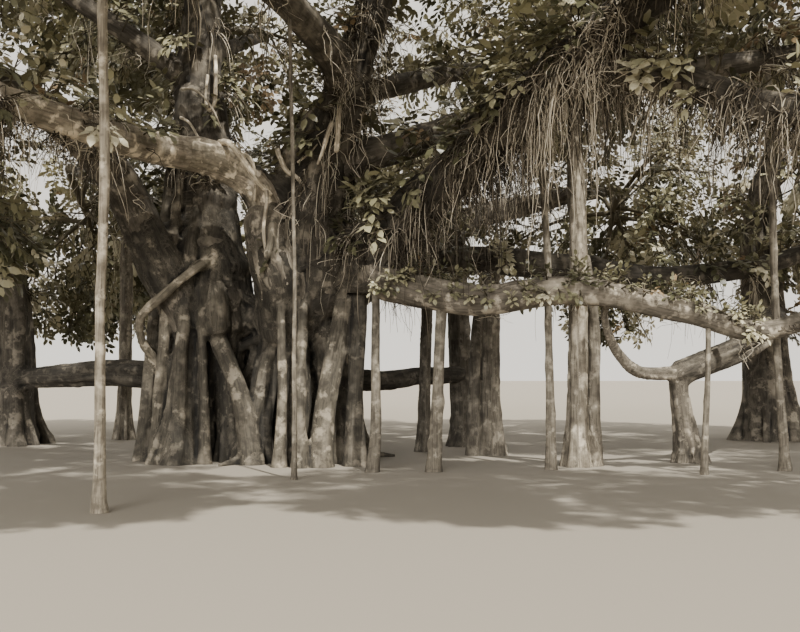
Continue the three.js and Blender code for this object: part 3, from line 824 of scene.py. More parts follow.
def fused(pieces: Sequence[Piece], name: str, voxel: float, web: float = 0.0) -> Piece:
    """Fuses closed shells into one skin.

    Args:
        pieces: the shells.
        name: the skin's name.
        voxel: size of the mesh's squares.
        web: how far a web of wood reaches into each crotch, if there is one.

    Returns:
        The skin.
    """
    skin = joined(pieces, name)
    for distance in ((web, -web) if web else (0.0,)):
        with_modifier(skin, "REMESH", {"mode": "VOXEL", "voxel_size": voxel})
        if distance:
            with_modifier(skin, "DISPLACE", {"strength": distance, "mid_level": 0.0})
    with_modifier(skin, "SMOOTH", {"factor": 0.5, "iterations": 4 if web else 2})
    return skin


def place(piece: Piece, slot: str, nodes: Iterable[str] = ()) -> None:
    """Hands a finished piece to the frame.

    Args:
        piece: what was made.
        slot: the name of the record's material slot for the piece; not used.
        nodes: the limbs that it stands for, of which those with solids are replaced.
    """
    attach(piece, "root")
    solids = [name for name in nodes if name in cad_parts]
    if solids:
        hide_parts(*solids)
    log.info("%s: %d faces", piece.name, len(piece.data.polygons))


def mesh_piece(
    name: str,
    points: Array,
    triangles: Array,
    materials: Sequence[bpy.types.Material],
    dealt: Array | None = None,
    smooth: bool = True,
) -> Piece:
    """Makes one joined mesh from arrays.

    Args:
        name: the piece's name.
        points: corners, one a row.
        triangles: three corner numbers a row.
        materials: the piece's materials.
        dealt: the number of each triangle's material, if there are several.
        smooth: whether the faces are shaded smooth.

    Returns:
        The new object.
    """
    mesh = bpy.data.meshes.new(name)
    mesh.vertices.add(len(points))
    mesh.vertices.foreach_set("co", np.ascontiguousarray(points, np.float32).ravel())
    mesh.loops.add(triangles.size)
    mesh.loops.foreach_set("vertex_index", np.ascontiguousarray(triangles, np.int32).ravel())
    mesh.polygons.add(len(triangles))
    mesh.polygons.foreach_set("loop_start", np.arange(0, triangles.size, 3, dtype=np.int32))
    mesh.polygons.foreach_set("use_smooth", np.full(len(triangles), smooth))
    for material in materials:
        mesh.materials.append(material)
    if dealt is not None:
        mesh.polygons.foreach_set("material_index", dealt.astype(np.int32))
    mesh.update(calc_edges=True)
    mesh.validate()
    piece = bpy.data.objects.new(name, mesh)
    bpy.context.scene.collection.objects.link(piece)
    return piece


def repeated(points: Array, triangles: Array) -> Arrays:
    """Joins copies of one shape that differ in where their corners lie.

    Args:
        points: corners, as copies by corners by three.
        triangles: those of one copy.

    Returns:
        Corners and triangles of all the copies.
    """
    starts = np.arange(len(points)) * points.shape[1]
    return points.reshape(-1, 3), (triangles[None] + starts[:, None, None]).reshape(-1, 3)


def merged(parts: Sequence[Arrays]) -> Arrays:
    """Joins shapes of several kinds.

    Args:
        parts: corners and triangles of each.

    Returns:
        Corners and triangles of them all.
    """
    starts = np.cumsum([0] + [len(points) for points, _ in parts[:-1]])
    triangles = np.concatenate([own + start for (_, own), start in zip(parts, starts)])
    return np.concatenate([points for points, _ in parts]), triangles


def tubes(centres: Array, radii: Array, sides: int = 3) -> Arrays:
    """Closed tapering tubes along many short lines.

    Args:
        centres: places along each line, as lines by places by three.
        radii: one radius for each place.
        sides: sides of every tube.

    Returns:
        Corners and triangles of all the tubes.
    """
    lines, places, _ = centres.shape
    ahead = unit(np.gradient(centres, axis=1))
    least = np.eye(3)[np.argmin(np.abs(ahead.mean(axis=1)), axis=1)][:, None, :]
    side = unit(np.cross(ahead, least))
    other = np.cross(ahead, side)
    angles = np.arange(sides) * FULL_TURN / sides
    offsets = (side[:, :, None, :] * np.cos(angles)[None, None, :, None]
               + other[:, :, None, :] * np.sin(angles)[None, None, :, None])
    points = centres[:, :, None, :] + offsets * radii[:, :, None, None]
    ring, turn = np.meshgrid(np.arange(places - 1), np.arange(sides), indexing="ij")
    a = (ring * sides + turn).ravel()
    b = (ring * sides + (turn + 1) % sides).ravel()
    walls = np.concatenate([np.stack([a, b, b + sides], 1), np.stack([a, b + sides, a + sides], 1)])
    fan = np.array([[0, i + 1, i] for i in range(1, sides - 1)])
    far = fan[:, ::-1] + (places - 1) * sides
    return repeated(points.reshape(lines, -1, 3), np.concatenate([walls, fan, far]))


def spikes(roots: Array, tips: Array, radius: float) -> Arrays:
    """Thin three-sided twigs that end in a point.

    Args:
        roots: where each twig starts.
        tips: where it ends.
        radius: at its start.

    Returns:
        Corners and triangles of all the twigs.
    """
    ahead = unit(tips - roots)
    side = unit(np.cross(ahead, np.eye(3)[np.argmin(np.abs(ahead), axis=1)]))
    other = np.cross(ahead, side)
    angles = np.arange(3) * FULL_TURN / 3
    ring = [roots + radius * (side * math.cos(angle) + other * math.sin(angle)) for angle in angles]
    return repeated(np.stack([*ring, tips], axis=1), np.array([[0, 1, 3], [1, 2, 3], [2, 0, 3], [0, 2, 1]]))


@dataclass(frozen=True)
class Relief:
    """Ropes of fused root on a limb, broad lumps and knots, as shares of its radius."""

    ropes: int = 6
    height: float = 0.16
    lumps: float = 0.06
    twist: float = 0.16
    knots: float = 0.0
    wander: float = 0.0

    def strayed(self, along: Array, rng: Random) -> Arrays:
        """How far the limb's middle strays from its route.

        Args:
            along: metres along the limb.
            rng: the limb's own random numbers.

        Returns:
            The stray two ways across, as shares of the radius.
        """
        ways = []
        for _ in range(2):
            waves = [np.sin(along * rng.uniform(0.8, 3.2) + rng.uniform(0, 6)) for _ in range(3)]
            ways.append(self.wander * sum(waves) / 3)
        return ways[0], ways[1]

    def swell(self, along: Array, angles: Array, rng: Random) -> Array:
        """How far the skin stands out.

        Args:
            along: metres along the limb, one for each ring.
            angles: radians round the limb, one for each column.
            rng: the limb's own random numbers.

        Returns:
            Rings by columns, as a factor on the limb's radius, near 1.
        """
        best = np.zeros((len(along), len(angles)))
        for k in range(self.ropes):
            start = FULL_TURN * (k + rng.uniform(-0.3, 0.3)) / self.ropes
            sway = rng.uniform(0.1, 0.35) * np.sin(along * rng.uniform(0.5, 1.4) + rng.uniform(0, 6))
            middle = start + self.twist * along + sway
            width = math.pi / self.ropes * rng.uniform(0.9, 1.7)
            strength = 0.62 + 0.38 * np.sin(along * rng.uniform(0.5, 1.6) + rng.uniform(0, 6))
            gap = (angles[None] - middle[:, None] + math.pi) % FULL_TURN - math.pi
            rope = np.sqrt(np.clip(1 - (gap / width) ** 2, 0, None)) * strength[:, None]
            best = np.maximum(best, rope)
        broad = np.zeros_like(best)
        for _ in range(5):
            turns = rng.integers(0, 4)
            wave = along[:, None] * rng.uniform(0.8, 4.5) + turns * angles[None] + rng.uniform(0, 6)
            broad += np.sin(wave) / 5
        swelling = np.zeros_like(best)
        for _ in range(int(along[-1] - along[0]) * 2 if self.knots else 0):
            gap = (angles[None] - rng.uniform(0, FULL_TURN) + math.pi) % FULL_TURN - math.pi
            far = (along[:, None] - rng.uniform(along[0], along[-1])) / rng.uniform(0.06, 0.16)
            swelling = np.maximum(swelling, np.exp(-far ** 2 - (gap / 0.8) ** 2) * rng.uniform(0.4, 1))
        return 1 - self.height * 0.45 + self.height * best + self.lumps * broad + self.knots * swelling


class BarkSkin:
    """A sheet of bark wrapped round a limb and closed at both ends."""

    CLOSE = 0.0004

    def __init__(
        self,
        limb: Limb,
        route: Route,
        relief: Relief,
        seed: int,
        pitch: float,
        stretch: Pair = (0.0, 1.0),
        fit: Pair = (1.0, 1.0),
    ) -> None:
        """Takes the limb's measures.

        Args:
            limb: the limb's radii.
            route: where it runs.
            relief: what stands out of it.
            seed: picks its ropes and lumps.
            pitch: size of the sheet's squares, in metres.
            stretch: the shares of the route between which the sheet lies.
            fit: factors on the limb's radius at the sheet's two ends.
        """
        self.limb = limb
        self.route = route
        self.relief = relief
        self.rng = np.random.default_rng(seed)
        self.fit = fit
        self.ends = (stretch[0] * route.length, stretch[1] * route.length)
        widest = FULL_TURN * sum(limb.radii) / 2
        self.around = int(np.clip(round(widest / pitch), 10, 60))
        self.rings = max(6, round((self.ends[1] - self.ends[0]) / (pitch * 1.3)))

    def places(self) -> Array:
        """Lays out the sheet's corners, with each end drawn in to a point.

        Returns:
            The corners, ring by ring.
        """
        first, last = self.ends
        along = np.linspace(first, last, self.rings + 1)
        shares = along / self.route.length
        middle = self.route.at(shares)
        _, side, other = self.route.frames(shares)
        radius = self.limb.girth(shares, middle[:, 2]) * np.linspace(*self.fit, self.rings + 1)
        angles = np.linspace(0, FULL_TURN, self.around + 1)
        swell = self.relief.swell(along, angles[:-1], self.rng)
        if self.relief.wander:
            left, up = self.relief.strayed(along, self.rng)
            middle = middle + (side * left[:, None] + other * up[:, None]) * radius[:, None]
        swell = np.concatenate([swell, swell[:, :1]], axis=1)
        dome = min(self.limb.radii[1], (last - first) / 4)
        from_end = np.minimum(along - first, last - along) / dome
        closing = np.sqrt(np.clip(1 - np.clip(1 - from_end, 0, 1) ** 2, 0, 1))
        reach = (radius * closing)[:, None] * swell
        offset = (side[:, None] * np.cos(angles)[None, :, None]
                  + other[:, None] * np.sin(angles)[None, :, None])
        return middle[:, None] + offset * reach[:, :, None]

    def wrap(self, name: str, cut: bool = True) -> Piece:
        """Lays out the sheet, wraps it round the limb, closes it and cuts a foot flat at the ground.

        Args:
            name: the piece's name.
            cut: whether a foot is cut here, or later with the skin that it is fused into.

        Returns:
            The new object.
        """
        deselect_all()
        bpy.ops.mesh.primitive_grid_add(x_subdivisions=self.around, y_subdivisions=self.rings, size=1)
        piece = bpy.context.object
        piece.name = piece.data.name = name
        piece.data.vertices.foreach_set("co", self.places().astype(np.float32).ravel())
        bpy.ops.object.mode_set(mode="EDIT")
        bpy.ops.mesh.select_all(action="SELECT")
        bpy.ops.mesh.remove_doubles(threshold=self.CLOSE)
        bpy.ops.mesh.normals_make_consistent(inside=False)
        bpy.ops.object.mode_set(mode="OBJECT")
        if self.limb.foot and cut:
            cut_level(piece)
        piece.data.shade_smooth()
        return piece


def cut_level(piece: Piece, height: float = 0.0, keep_above: bool = True) -> None:
    """Cuts a piece level at a height and closes the cut.

    Args:
        piece: what is cut.
        height: where, in metres over the ground.
        keep_above: whether the upper part stays, or the lower one.
    """
    take_up([piece])
    bpy.ops.object.mode_set(mode="EDIT")
    bpy.ops.mesh.select_all(action="SELECT")
    bpy.ops.mesh.bisect(plane_co=(0, 0, height), plane_no=(0, 0, 1), use_fill=True,
                        clear_inner=keep_above, clear_outer=not keep_above)
    bpy.ops.mesh.mark_sharp()
    bpy.ops.object.mode_set(mode="OBJECT")


def rows_of(data: bpy.types.bpy_prop_collection, name: str = "co") -> Array:
    """Reads three numbers from every item of a mesh's data.

    Args:
        data: such as the mesh's vertices.
        name: what is read from each.

    Returns:
        One row for each item.
    """
    flat = np.empty(len(data) * 3, np.float32)
    data.foreach_get(name, flat)
    return flat.reshape(-1, 3).astype(float)


def evened(piece: Piece, values: Array, rounds: int) -> Array:
    """Evens out values over a mesh, each with those next to it.

    Args:
        piece: the mesh.
        values: one row for each corner.
        rounds: how many times.

    Returns:
        The evened values.
    """
    mesh = piece.data
    edges = np.empty(len(mesh.edges) * 2, np.int32)
    mesh.edges.foreach_get("vertices", edges)
    edges = edges.reshape(-1, 2)
    ends, starts = np.concatenate([edges[:, 0], edges[:, 1]]), np.concatenate([edges[:, 1], edges[:, 0]])
    count = np.maximum(np.bincount(ends, minlength=len(values)), 1)[:, None]
    for _ in range(rounds):
        total = np.stack([np.bincount(ends, column[starts], len(values)) for column in values.T], axis=1)
        values = 0.4 * values + 0.6 * total / count
    return values


def mark(piece: Piece, name: str, values: Array) -> None:
    """Gives each corner of a mesh a number, under a name that materials read."""
    attribute = piece.data.attributes.new(name, "FLOAT", "POINT")
    attribute.data.foreach_set("value", values.astype(np.float32).ravel())


def mark_grain(piece: Piece, routes: Sequence[Route], tints: Sequence[float]) -> None:
    """Gives each corner its place in the nearest root or bough, so that bark runs along it, and its tint.

    Args:
        piece: the bark.
        routes: the roots and boughs in it.
        tints: how pale each of them is, from -1 to 1.
    """
    samples, sides, others, lengths, owners = [], [], [], [], []
    for number, route in enumerate(routes):
        shares = np.linspace(0, 1, max(4, round(route.length / 0.12)))
        _, side, other = route.frames(shares)
        samples.append(route.at(shares))
        sides.append(side)
        others.append(other)
        lengths.append(shares * route.length)
        owners.append(np.full(len(shares), number))
    middles, side, other = np.concatenate(samples), np.concatenate(sides), np.concatenate(others)
    along, owner = np.concatenate(lengths), np.concatenate(owners)
    tree = KDTree(len(middles))
    for number, middle in enumerate(middles):
        tree.insert(middle, number)
    tree.balance()
    corners = rows_of(piece.data.vertices)
    nearest = np.array([tree.find(corner)[1] for corner in corners])
    offset = corners - middles[nearest]
    ahead = np.cross(side[nearest], other[nearest])
    grain = np.stack([
        (offset * side[nearest]).sum(1) + 3.7 * owner[nearest],
        (offset * other[nearest]).sum(1),
        along[nearest] + (offset * ahead).sum(1),
    ], axis=1)
    attribute = piece.data.attributes.new("grain", "FLOAT_VECTOR", "POINT")
    attribute.data.foreach_set("vector", grain.astype(np.float32).ravel())
    mark(piece, "tint", evened(piece, np.array(tints)[owner[nearest]][:, None], 8))


def carve_bark(piece: Piece, depth: float) -> None:
    """Moves the skin in and out in ridges and pits that run along its grain.

    Args:
        piece: the bark, with its grain marked.
        depth: height of the broad ridges, in metres.
    """
    grain = rows_of(piece.data.attributes["grain"].data, "vector")
    ridges = np.array([1 - 2 * abs(noise.noise(Vector(spot))) for spot in grain * RIDGES_PER_METRE])
    pits = np.array([noise.noise(Vector(spot)) for spot in grain * PITS_PER_METRE])
    lift = depth * (ridges - 0.5) + PIT_SHARE * depth * pits
    vertices = piece.data.vertices
    corners = rows_of(vertices) + rows_of(vertices, "normal") * lift[:, None]
    corners[:, 2] = np.maximum(corners[:, 2], 0)
    vertices.foreach_set("co", corners.astype(np.float32).ravel())
    piece.data.update()


def mark_painted_shade(piece: Piece, depth: float, rounds: int) -> None:
    """Marks how deep in a fold each corner lies, by how far it moves outwards when the mesh is smoothed,
    for the painted shade that darkens the folds.

    Args:
        piece: the bark.
        depth: the movement, in metres, that counts as a full fold and gets the full painted shade.
        rounds: how many times the mesh is smoothed.
    """
    corners = rows_of(piece.data.vertices)
    moved = ((evened(piece, corners, rounds) - corners) * rows_of(piece.data.vertices, "normal")).sum(1)
    mark(piece, "painted_shade", np.clip(moved / depth, 0, 1))


@dataclass(frozen=True)
class Carving:
    """How a bark is carved: its ridges' height, the depth of fold that gets the full painted shade, and how
    broad folds are sought.
    """

    ridges: float
    # Depth of fold, in metres, that gets the full painted shade
    fold: float = 0.012
    rounds: int = 10


def dress(
    piece: Piece,
    routes: Sequence[Route],
    tints: Sequence[float],
    material: bpy.types.Material,
    carving: Carving,
) -> None:
    """Marks a bark's grain, carves it, marks its folds for painted shade and gives it its finish.

    Args:
        piece: the bark.
        routes: the roots and boughs in it.
        tints: how pale each of them is, from -1 to 1.
        material: its finish.
        carving: how it is carved.
    """
    mark_grain(piece, routes, tints)
    carve_bark(piece, carving.ridges)
    mark_painted_shade(piece, carving.fold, carving.rounds)
    piece.data.materials.clear()
    piece.data.materials.append(material)
    piece.data.shade_smooth()


class TreePlan:
    """Where every limb runs, and which space each mass of foliage may fill."""

    def __init__(self) -> None:
        """Works out the routes of all limbs, props and stems."""
        self.limbs: dict[str, Limb] = {}
        self.routes: dict[str, Route] = {}
        for limb in (*LIMBS, BEND_COLUMN, BEND_SHOOT):
            self.add(limb)
        random = SeededRandom(PROP_SEED)
        for prop in PROPS:
            head = self.routes[prop.limb].at(prop.share)
            bow = (random() - 0.5) * 0.02 * head[2]
            x, y = prop.foot
            middle = ((x + head[0]) / 2 + bow, (y + head[1]) / 2, head[2] / 2)
            self.add(Limb(prop.name, prop.radii, ((x, y, 0), middle, tuple(head)), foot=True))
        shares = np.linspace(0, 1, 60)
        names = list(self.routes)
        self.wood = np.concatenate([self.routes[name].at(shares) for name in names])
        self.wood_radius = np.concatenate([
            self.limbs[name].girth(shares, self.routes[name].at(shares)[:, 2]) for name in names
        ])

    def add(self, limb: Limb) -> None:
        """Takes in one limb, starting on its parent."""
        start = [self.routes[limb.start_on[0]].at(limb.start_on[1])] if limb.start_on else []
        self.limbs[limb.name], self.routes[limb.name] = limb, limb.route(start)

    def round_limb(self, name: str, shares: Array) -> Arrays:
        """Where a limb runs, and the ways round it.

        Args:
            name: the limb.
            shares: shares of its length.

        Returns:
            Its middle, its radius, and the unit ways ahead, aside and upwards from it, for each share.
        """
        route = self.routes[name]
        middle, ahead = route.at(shares), route.ahead(shares)
        aside = unit(np.cross(ahead, UP))
        return middle, self.limbs[name].girth(shares, middle[:, 2]), ahead, aside, np.cross(aside, ahead)

    def bark_route(self, name: str) -> Route:
        """The way that the bark takes along a limb.

        Args:
            name: the limb.

        Returns:
            The limb's route, which for a side bough starts back along its parent, so that they part slowly.
        """
        limb, route = self.limbs[name], self.routes[name]
        if not limb.start_on:
            return route
        parent, share = limb.start_on
        back = self.routes[parent]
        before = back.at(max(share - COLLAR / back.length, 0.0))
        parting = route.at(0.0) * 0.75 + route.at(min(COLLAR / route.length, 0.3)) * 0.25
        return Route([before, parting, *route.points[1:]])

    def clear(self, places: Array, margin: float) -> Array:
        """Which places lie clear of the wood.

        Args:
            places: points, one a row.
            margin: least distance to the bark, in metres.

        Returns:
            One truth value for each place.
        """
        low, high = places.min(0) - 1.2, places.max(0) + 1.2
        near = np.all((self.wood > low) & (self.wood < high), axis=1)
        if not near.any():
            return np.ones(len(places), bool)
        gaps = np.linalg.norm(places[:, None] - self.wood[near][None], axis=2) - self.wood_radius[near]
        return gaps.min(1) > margin

    def holds(self, mass: Mass, places: Array) -> Array:
        """Which places lie in a mass's own space: its ellipsoid, cut flat half-way to each neighbour.

        Args:
            mass: the mass of foliage.
            places: points, one a row.

        Returns:
            One truth value for each place.
        """
        centre, reach = np.array(mass.centre), np.array(mass.reach)
        offset = places - centre
        inside = ((offset / reach) ** 2).sum(1) <= 1
        for other in MASSES:
            if other is mass:
                continue
            across = np.array(other.centre) - centre
            distance = np.linalg.norm(across)
            normal = across / distance
            own = np.linalg.norm(reach * normal)
            theirs = np.linalg.norm(np.array(other.reach) * normal)
            inside &= offset @ normal < distance * own / (own + theirs) - SPACE_MARGIN
        return inside

    def stem(self, mass: Mass) -> Route:
        """The stem of a mass, on from its bough and through the mass's middle.

        Args:
            mass: the mass of foliage.

        Returns:
            The stem's route.
        """
        route = self.routes[mass.bough]
        root = route.at(1.0 if mass.share is None else mass.share)
        centre, reach = np.array(mass.centre), np.array(mass.reach)
        across = unit(centre - root)
        ahead = across if mass.share else route.ahead(1.0)
        start = root if mass.share else root - 0.12 * ahead
        bend = root + ahead * 0.3 * np.linalg.norm(centre - root)
        return Route([start, bend, centre, centre + across * reach * STEM_END])


BOUGH_RELIEF = Relief(6, 0.19, 0.08, knots=0.18, wander=0.1)
ROOT_RELIEF = Relief(4, 0.26, 0.07, 0.3, knots=0.3, wander=0.35)
CREEPING_RELIEF = Relief(3, 0.1, 0.1, knots=0.3)
PALE_RELIEF = Relief(2, 0.14, 0.12, knots=0.3, wander=0.3)
RIDGES_PER_METRE = (5.5, 5.5, 0.9)
PITS_PER_METRE = (17, 17, 4.5)
PIT_SHARE = 0.45
FIRST_BOUGH_SEED = 40
OUTER_SEED = 60
PROP_BARK_SEED = 80
TINT_SEED = 90
CURTAIN_SEED = 200
SHAG_SEED = 220
# Props thicker than this, in metres, have roots creeping on them
THICK_PROP = 0.11
PROP_VOXEL = 0.03
PROP_PITCH = 0.022
OUTER_WEB = 0.12
OUTER_GROUPS = {
    "right_outer": ("right_outer_trunk", "right_curved_bough", "bend_root", "bend_shoot"),
    "left_outer": ("left_outer_trunk", "left_low_bough"),
}
# How pale the bark of a limb is, from -1 to 1; the rest are at 0. The left front bough's 1.6 is partly its
# own paler bark and partly painted sunlight.
TINTS = {
    "left_front_bough": 1.6, "centre_stem": 0.45, "right_low_bough": 0.65, "bend_root": 0.2,
    "bend_shoot": 0.6,
    "left_leader": -0.15, "centre_bough": -0.35, "right_front_bough": -0.5, "right_back_bough": -0.6,
    "left_low_bough": -0.6, "low_beam": -0.6, "prop_root_mid_back": -0.6, "prop_root_thick_back": -0.8,
    "prop_root_thick_right": -0.35, "prop_root_near_trunk": -0.3, "prop_root_bright": 0.5,
    "prop_root_leaning": 0.1, "prop_root_front_left": 0.7, "prop_root_low_left": -0.1,
}
# Roots that have grown together with a prop
BESIDE = {
    "prop_root_bright": (
        Feature((0.12, 0.1),
                ((6.04, -1.42, 0), (6.05, -1.4, 1.3), (6.03, -1.46, 2.5), (5.84, -1.58, 3.7)), 0.1),
    ),
    "prop_root_thick_right": (
        Feature((0.13, 0.11), ((4.12, 0.72, 0), (4.14, 0.74, 1.2), (4.2, 0.8, 2.6), (4.4, 0.9, 3.6)), -0.7),
    ),
}
# Pale roots that show one by one round the fork; their tints, 1.1 to 1.6, go past their own pale bark to
# paint sunlight on them
PALE_ROOTS = (
    Feature((0.045, 0.04),
            ((1.66, -1.85, 6.3), (1.63, -2.0, 6.1), (1.6, -2.02, 5.7), (1.56, -2.0, 5.34)), 1.5),
    Feature((0.05, 0.022),
            ((1.5, -1.8, 5.9), (1.44, -1.98, 5.7), (1.35, -1.98, 5.4), (1.24, -1.92, 5.15)), 1.4),
    Feature((0.06, 0.04), ((-0.5, -1.6, 5.6), (-0.24, -1.88, 5.5), (0.02, -1.86, 5.18), (0.2, -1.74, 4.92),
                           (0.42, -1.5, 4.72)), 1.6),
    Feature((0.04, 0.025),
            ((-0.15, -1.5, 5.45), (0.1, -1.8, 5.25), (0.16, -1.72, 4.95), (0.12, -1.55, 4.6)), 1.4),
    Feature((0.055, 0.03), ((0.5, -1.3, 5.6), (0.56, -1.55, 5.42), (0.7, -1.66, 5.12), (0.9, -1.58, 4.98),
                            (1.05, -1.4, 4.6)), 1.6),
    Feature((0.02, 0.012),
            ((0.86, -1.5, 5.3), (1.0, -1.75, 5.32), (1.12, -1.8, 5.4), (1.24, -1.78, 5.55)), 1.5),
    Feature((0.035, 0.03),
            ((-0.82, -0.3, 7.6), (-0.74, -0.62, 7.0), (-0.76, -0.68, 6.56), (-0.84, -0.7, 6.44),
                            (-0.92, -0.66, 6.6), (-0.94, -0.4, 7.2)), 1.5),
    Feature((0.025, 0.016),
            ((-1.4, -0.5, 6.9), (-1.1, -0.74, 6.8), (-0.8, -0.78, 6.5), (-0.62, -0.7, 6.1)), 1.1),
    Feature((0.03, 0.016),
            ((-1.45, -0.4, 6.4), (-1.2, -0.72, 6.2), (-0.98, -0.86, 5.85), (-0.7, -1.2, 5.5)), 1.3),
    Feature((0.045, 0.02), ((0.3, -1.5, 4.9), (0.36, -1.72, 4.6), (0.3, -1.7, 4.1), (0.34, -1.55, 3.6)), 1.2),
)


def bough_seed(name: str) -> int:
    """Returns the seed of a bough's own ropes, the same in the fork and further out."""
    return FIRST_BOUGH_SEED + [limb.name for limb in LIMBS].index(name)


def creeping_roots(
    limb: Limb,
    route: Route,
    count: int,
    thick: float,
    rng: Random,
    fit: Pair = (1.0, 1.0),
) -> list[tuple[Limb, Route]]:
    """Thin roots that creep up a limb and half sink into it.

    Args:
        limb: what they creep on.
        route: where it runs.
        count: how many there are.
        thick: their usual radius.
        rng: random numbers.
        fit: factors on the limb's radius at its root and tip.

    Returns:
        Each root's radii and route.
    """
    found = []
    shares = np.linspace(0, 1, 7)
    middle = route.at(shares)
    _, side, other = route.frames(shares)
    for k in range(count):
        start = FULL_TURN * (k + rng.uniform(-0.35, 0.35)) / count
        angles = start + rng.uniform(-0.9, 0.9) * shares + rng.normal(0, 0.1, len(shares))
        radius = limb.girth(shares, middle[:, 2]) * rng.uniform(0.94, 1.06) * np.linspace(*fit, len(shares))
        radius *= 1 + 0.25 * np.exp(-np.maximum(middle[:, 2], 0) / 0.25)
        around = side * np.cos(angles)[:, None] + other * np.sin(angles)[:, None]
        own = thick * rng.uniform(0.6, 1.5)
        root = Limb("strand", (own, own * rng.uniform(0.5, 0.9)), (), foot=limb.foot)
        found.append((root, Route(middle + around * radius[:, None])))
    return found


@dataclass
class Trunk:
    """The trunk and its fork: two clusters of roots and the first stretch of each bough, all fused."""

    plan: TreePlan
    finishes: Finishes
    voxel: float = 0.041
    core_voxel: float = 0.075
    web: float = 0.15
    core_fit: Pair = (0.5, 1.0)
    sleeve_core_fit: Pair = (1.0, 0.9)
    sleeve_fit: Pair = (1.05, 0.97)
    pitch: float = 0.06
    core_pitch: float = 0.1
    strands_per_column: int = 5
    strand_radius: float = 0.07
    climber_radii: Pair = (0.035, 0.09)
    thick_root: float = 0.2
    root_tints: Pair = (-1.05, 0.2)
    fork_height: float = 2.75
    carving: Carving = Carving(0.022, 0.04, 16)

    # Roots that show one by one in the photograph, with how pale each is
    FEATURES = (
        Feature((0.19, 0.15), ((0, -1.18, 0), (-0.26, -0.98, 1.3), (-0.9, -0.62, 2.7)), 0.1),
        Feature((0.1, 0.075),
                ((0.56, -1.72, 0), (0.6, -1.62, 1.2), (0.58, -1.42, 2.3), (0.52, -1.05, 3.5)), 0.4),
        Feature((0.115, 0.085),
                ((0.93, -1.8, 0), (0.94, -1.66, 1.3), (0.93, -1.3, 2.6), (0.9, -0.7, 3.4)), 0.2),
        Feature((0.2, 0.15),
                ((1.26, -1.62, 0), (1.38, -1.52, 1.2), (1.6, -1.34, 2.4), (1.72, -1.2, 3.4)), 0.2),
        Feature((0.17, 0.12), ((1.86, -1.42, 0), (1.87, -1.36, 1.5), (1.98, -1.36, 3.2)), -0.3),
        Feature((0.075, 0.1),
                ((-1.72, -0.5, 1.7), (-2.02, -0.86, 2.2), (-1.98, -1.1, 2.6), (-1.6, -1.2, 2.97),
                               (-1.16, -1.12, 3.38), (-0.8, -0.6, 3.75)), 1.2, foot=False),
        Feature((0.25, 0.18), ((0.44, -0.95, 3.8), (0.5, -1.12, 4.6), (0.66, -1.2, 5.35), (1.1, -1.25, 6.05),
                               (1.55, -1.4, 6.6)), 0.35, foot=False),
        Feature((0.15, 0.1), ((-2.1, -0.5, 0), (-1.95, -0.5, 2), (-1.75, -0.42, 4), (-1.6, -0.1, 6.4)), 0.0),
        Feature((0.12, 0.07),
                ((-1.75, -0.95, 0), (-1.66, -0.85, 2), (-1.52, -0.72, 4), (-1.3, -0.1, 7.2)), 0.5),
        Feature((0.14, 0.09),
                ((-1.3, -1.25, 0), (-1.28, -1.05, 1.8), (-1.2, -0.86, 3.4), (-1.1, -0.2, 5.6)), 0.2),
        Feature((0.1, 0.06),
                ((-0.85, -1.1, 0), (-0.9, -0.95, 1.6), (-0.98, -0.8, 3.2), (-0.95, -0.2, 5.2)), 0.0),
        Feature((0.07, 0.045), ((0.36, -1.74, 3.55), (0.42, -1.6, 4.1), (0.32, -1.3, 4.7)), 0.9, foot=False),
        Feature((0.3, 0.22),
                ((-0.75, -0.7, 2.3), (-0.72, -0.82, 2.75), (-0.8, -0.62, 3.35)), 0.3, foot=False),
    )
    # Columns that stand back in the dark gaps: cluster and place in it, and what is left of their girth
    SET_BACK = {(0, 4): 0.5, (1, 4): 0.66, (1, 5): 0.75}
    # How many metres of each bough are fused into the fork
    SLEEVES = {
        "left_leader": 4.4, "centre_stem": 2.7, "left_front_bough": 2.6, "centre_bough": 3.9,
        "right_front_bough": 3.4, "left_bough": 3.2, "right_low_bough": 1.9, "right_back_bough": 1.8,
        "back_bough": 2.4, "back_left_bough": 2.4, "back_right_bough": 2.4, "left_low_bough": 1.0,
    }
    # Creeping roots over the fork: what they climb, in order, and how many
    CLIMBS = (
        (("left", "left_leader"), 26),
        (("right", "centre_bough"), 18),
        (("right", "centre_stem"), 5),
        (("right", "right_front_bough"), 12),
        (("left", "left_bough"), 10),
        (("left", "back_left_bough"), 5),
        (("right", "back_bough"), 5),
        (("right", "back_right_bough"), 6),
    )

    def columns(self) -> list[Limb]:
        """Sets out the solid's cores, columns and surface roots by the same seeded rule.

        Returns:
            Them all, in the order of the rule.
        """
        random = SeededRandom(TRUNK_SEED)
        found = []
        for place, cluster in enumerate(CLUSTERS):
            (cx, cy), (hx, hy) = cluster.centre, cluster.head
            path = ((cx, cy, 0), ((cx + hx) / 2, (cy + hy) / 2, CORE_HEIGHT / 2), (hx, hy, CORE_HEIGHT))
            found.append(Limb("core", cluster.core, path, foot=True))
            for i in range(cluster.columns):
                angle = cluster.turn + FULL_TURN * i / cluster.columns
                x = cx + cluster.spread[0] * math.cos(angle)
                y = cy + cluster.spread[1] * math.sin(angle)
                lean = 0.5 + 0.15 * random()
                top = (x + (hx - x) * lean, y + (hy - y) * lean, CORE_HEIGHT - 0.15 - 0.35 * random())
                middle = (x + (hx - x) * lean * 0.4, y + (hy - y) * lean * 0.4, CORE_HEIGHT * 0.45)
                radius = COLUMN_RADIUS * (0.85 + 0.35 * random()) * self.SET_BACK.get((place, i), 1.0)
                found.append(Limb("column", (radius, radius * 0.85), ((x, y, 0), middle, top), foot=True))
                if i % SURFACE_ROOT_EVERY == 0:
                    found.append(self.surface_root(x, y, angle + 0.5 * (random() - 0.5)))
        return found

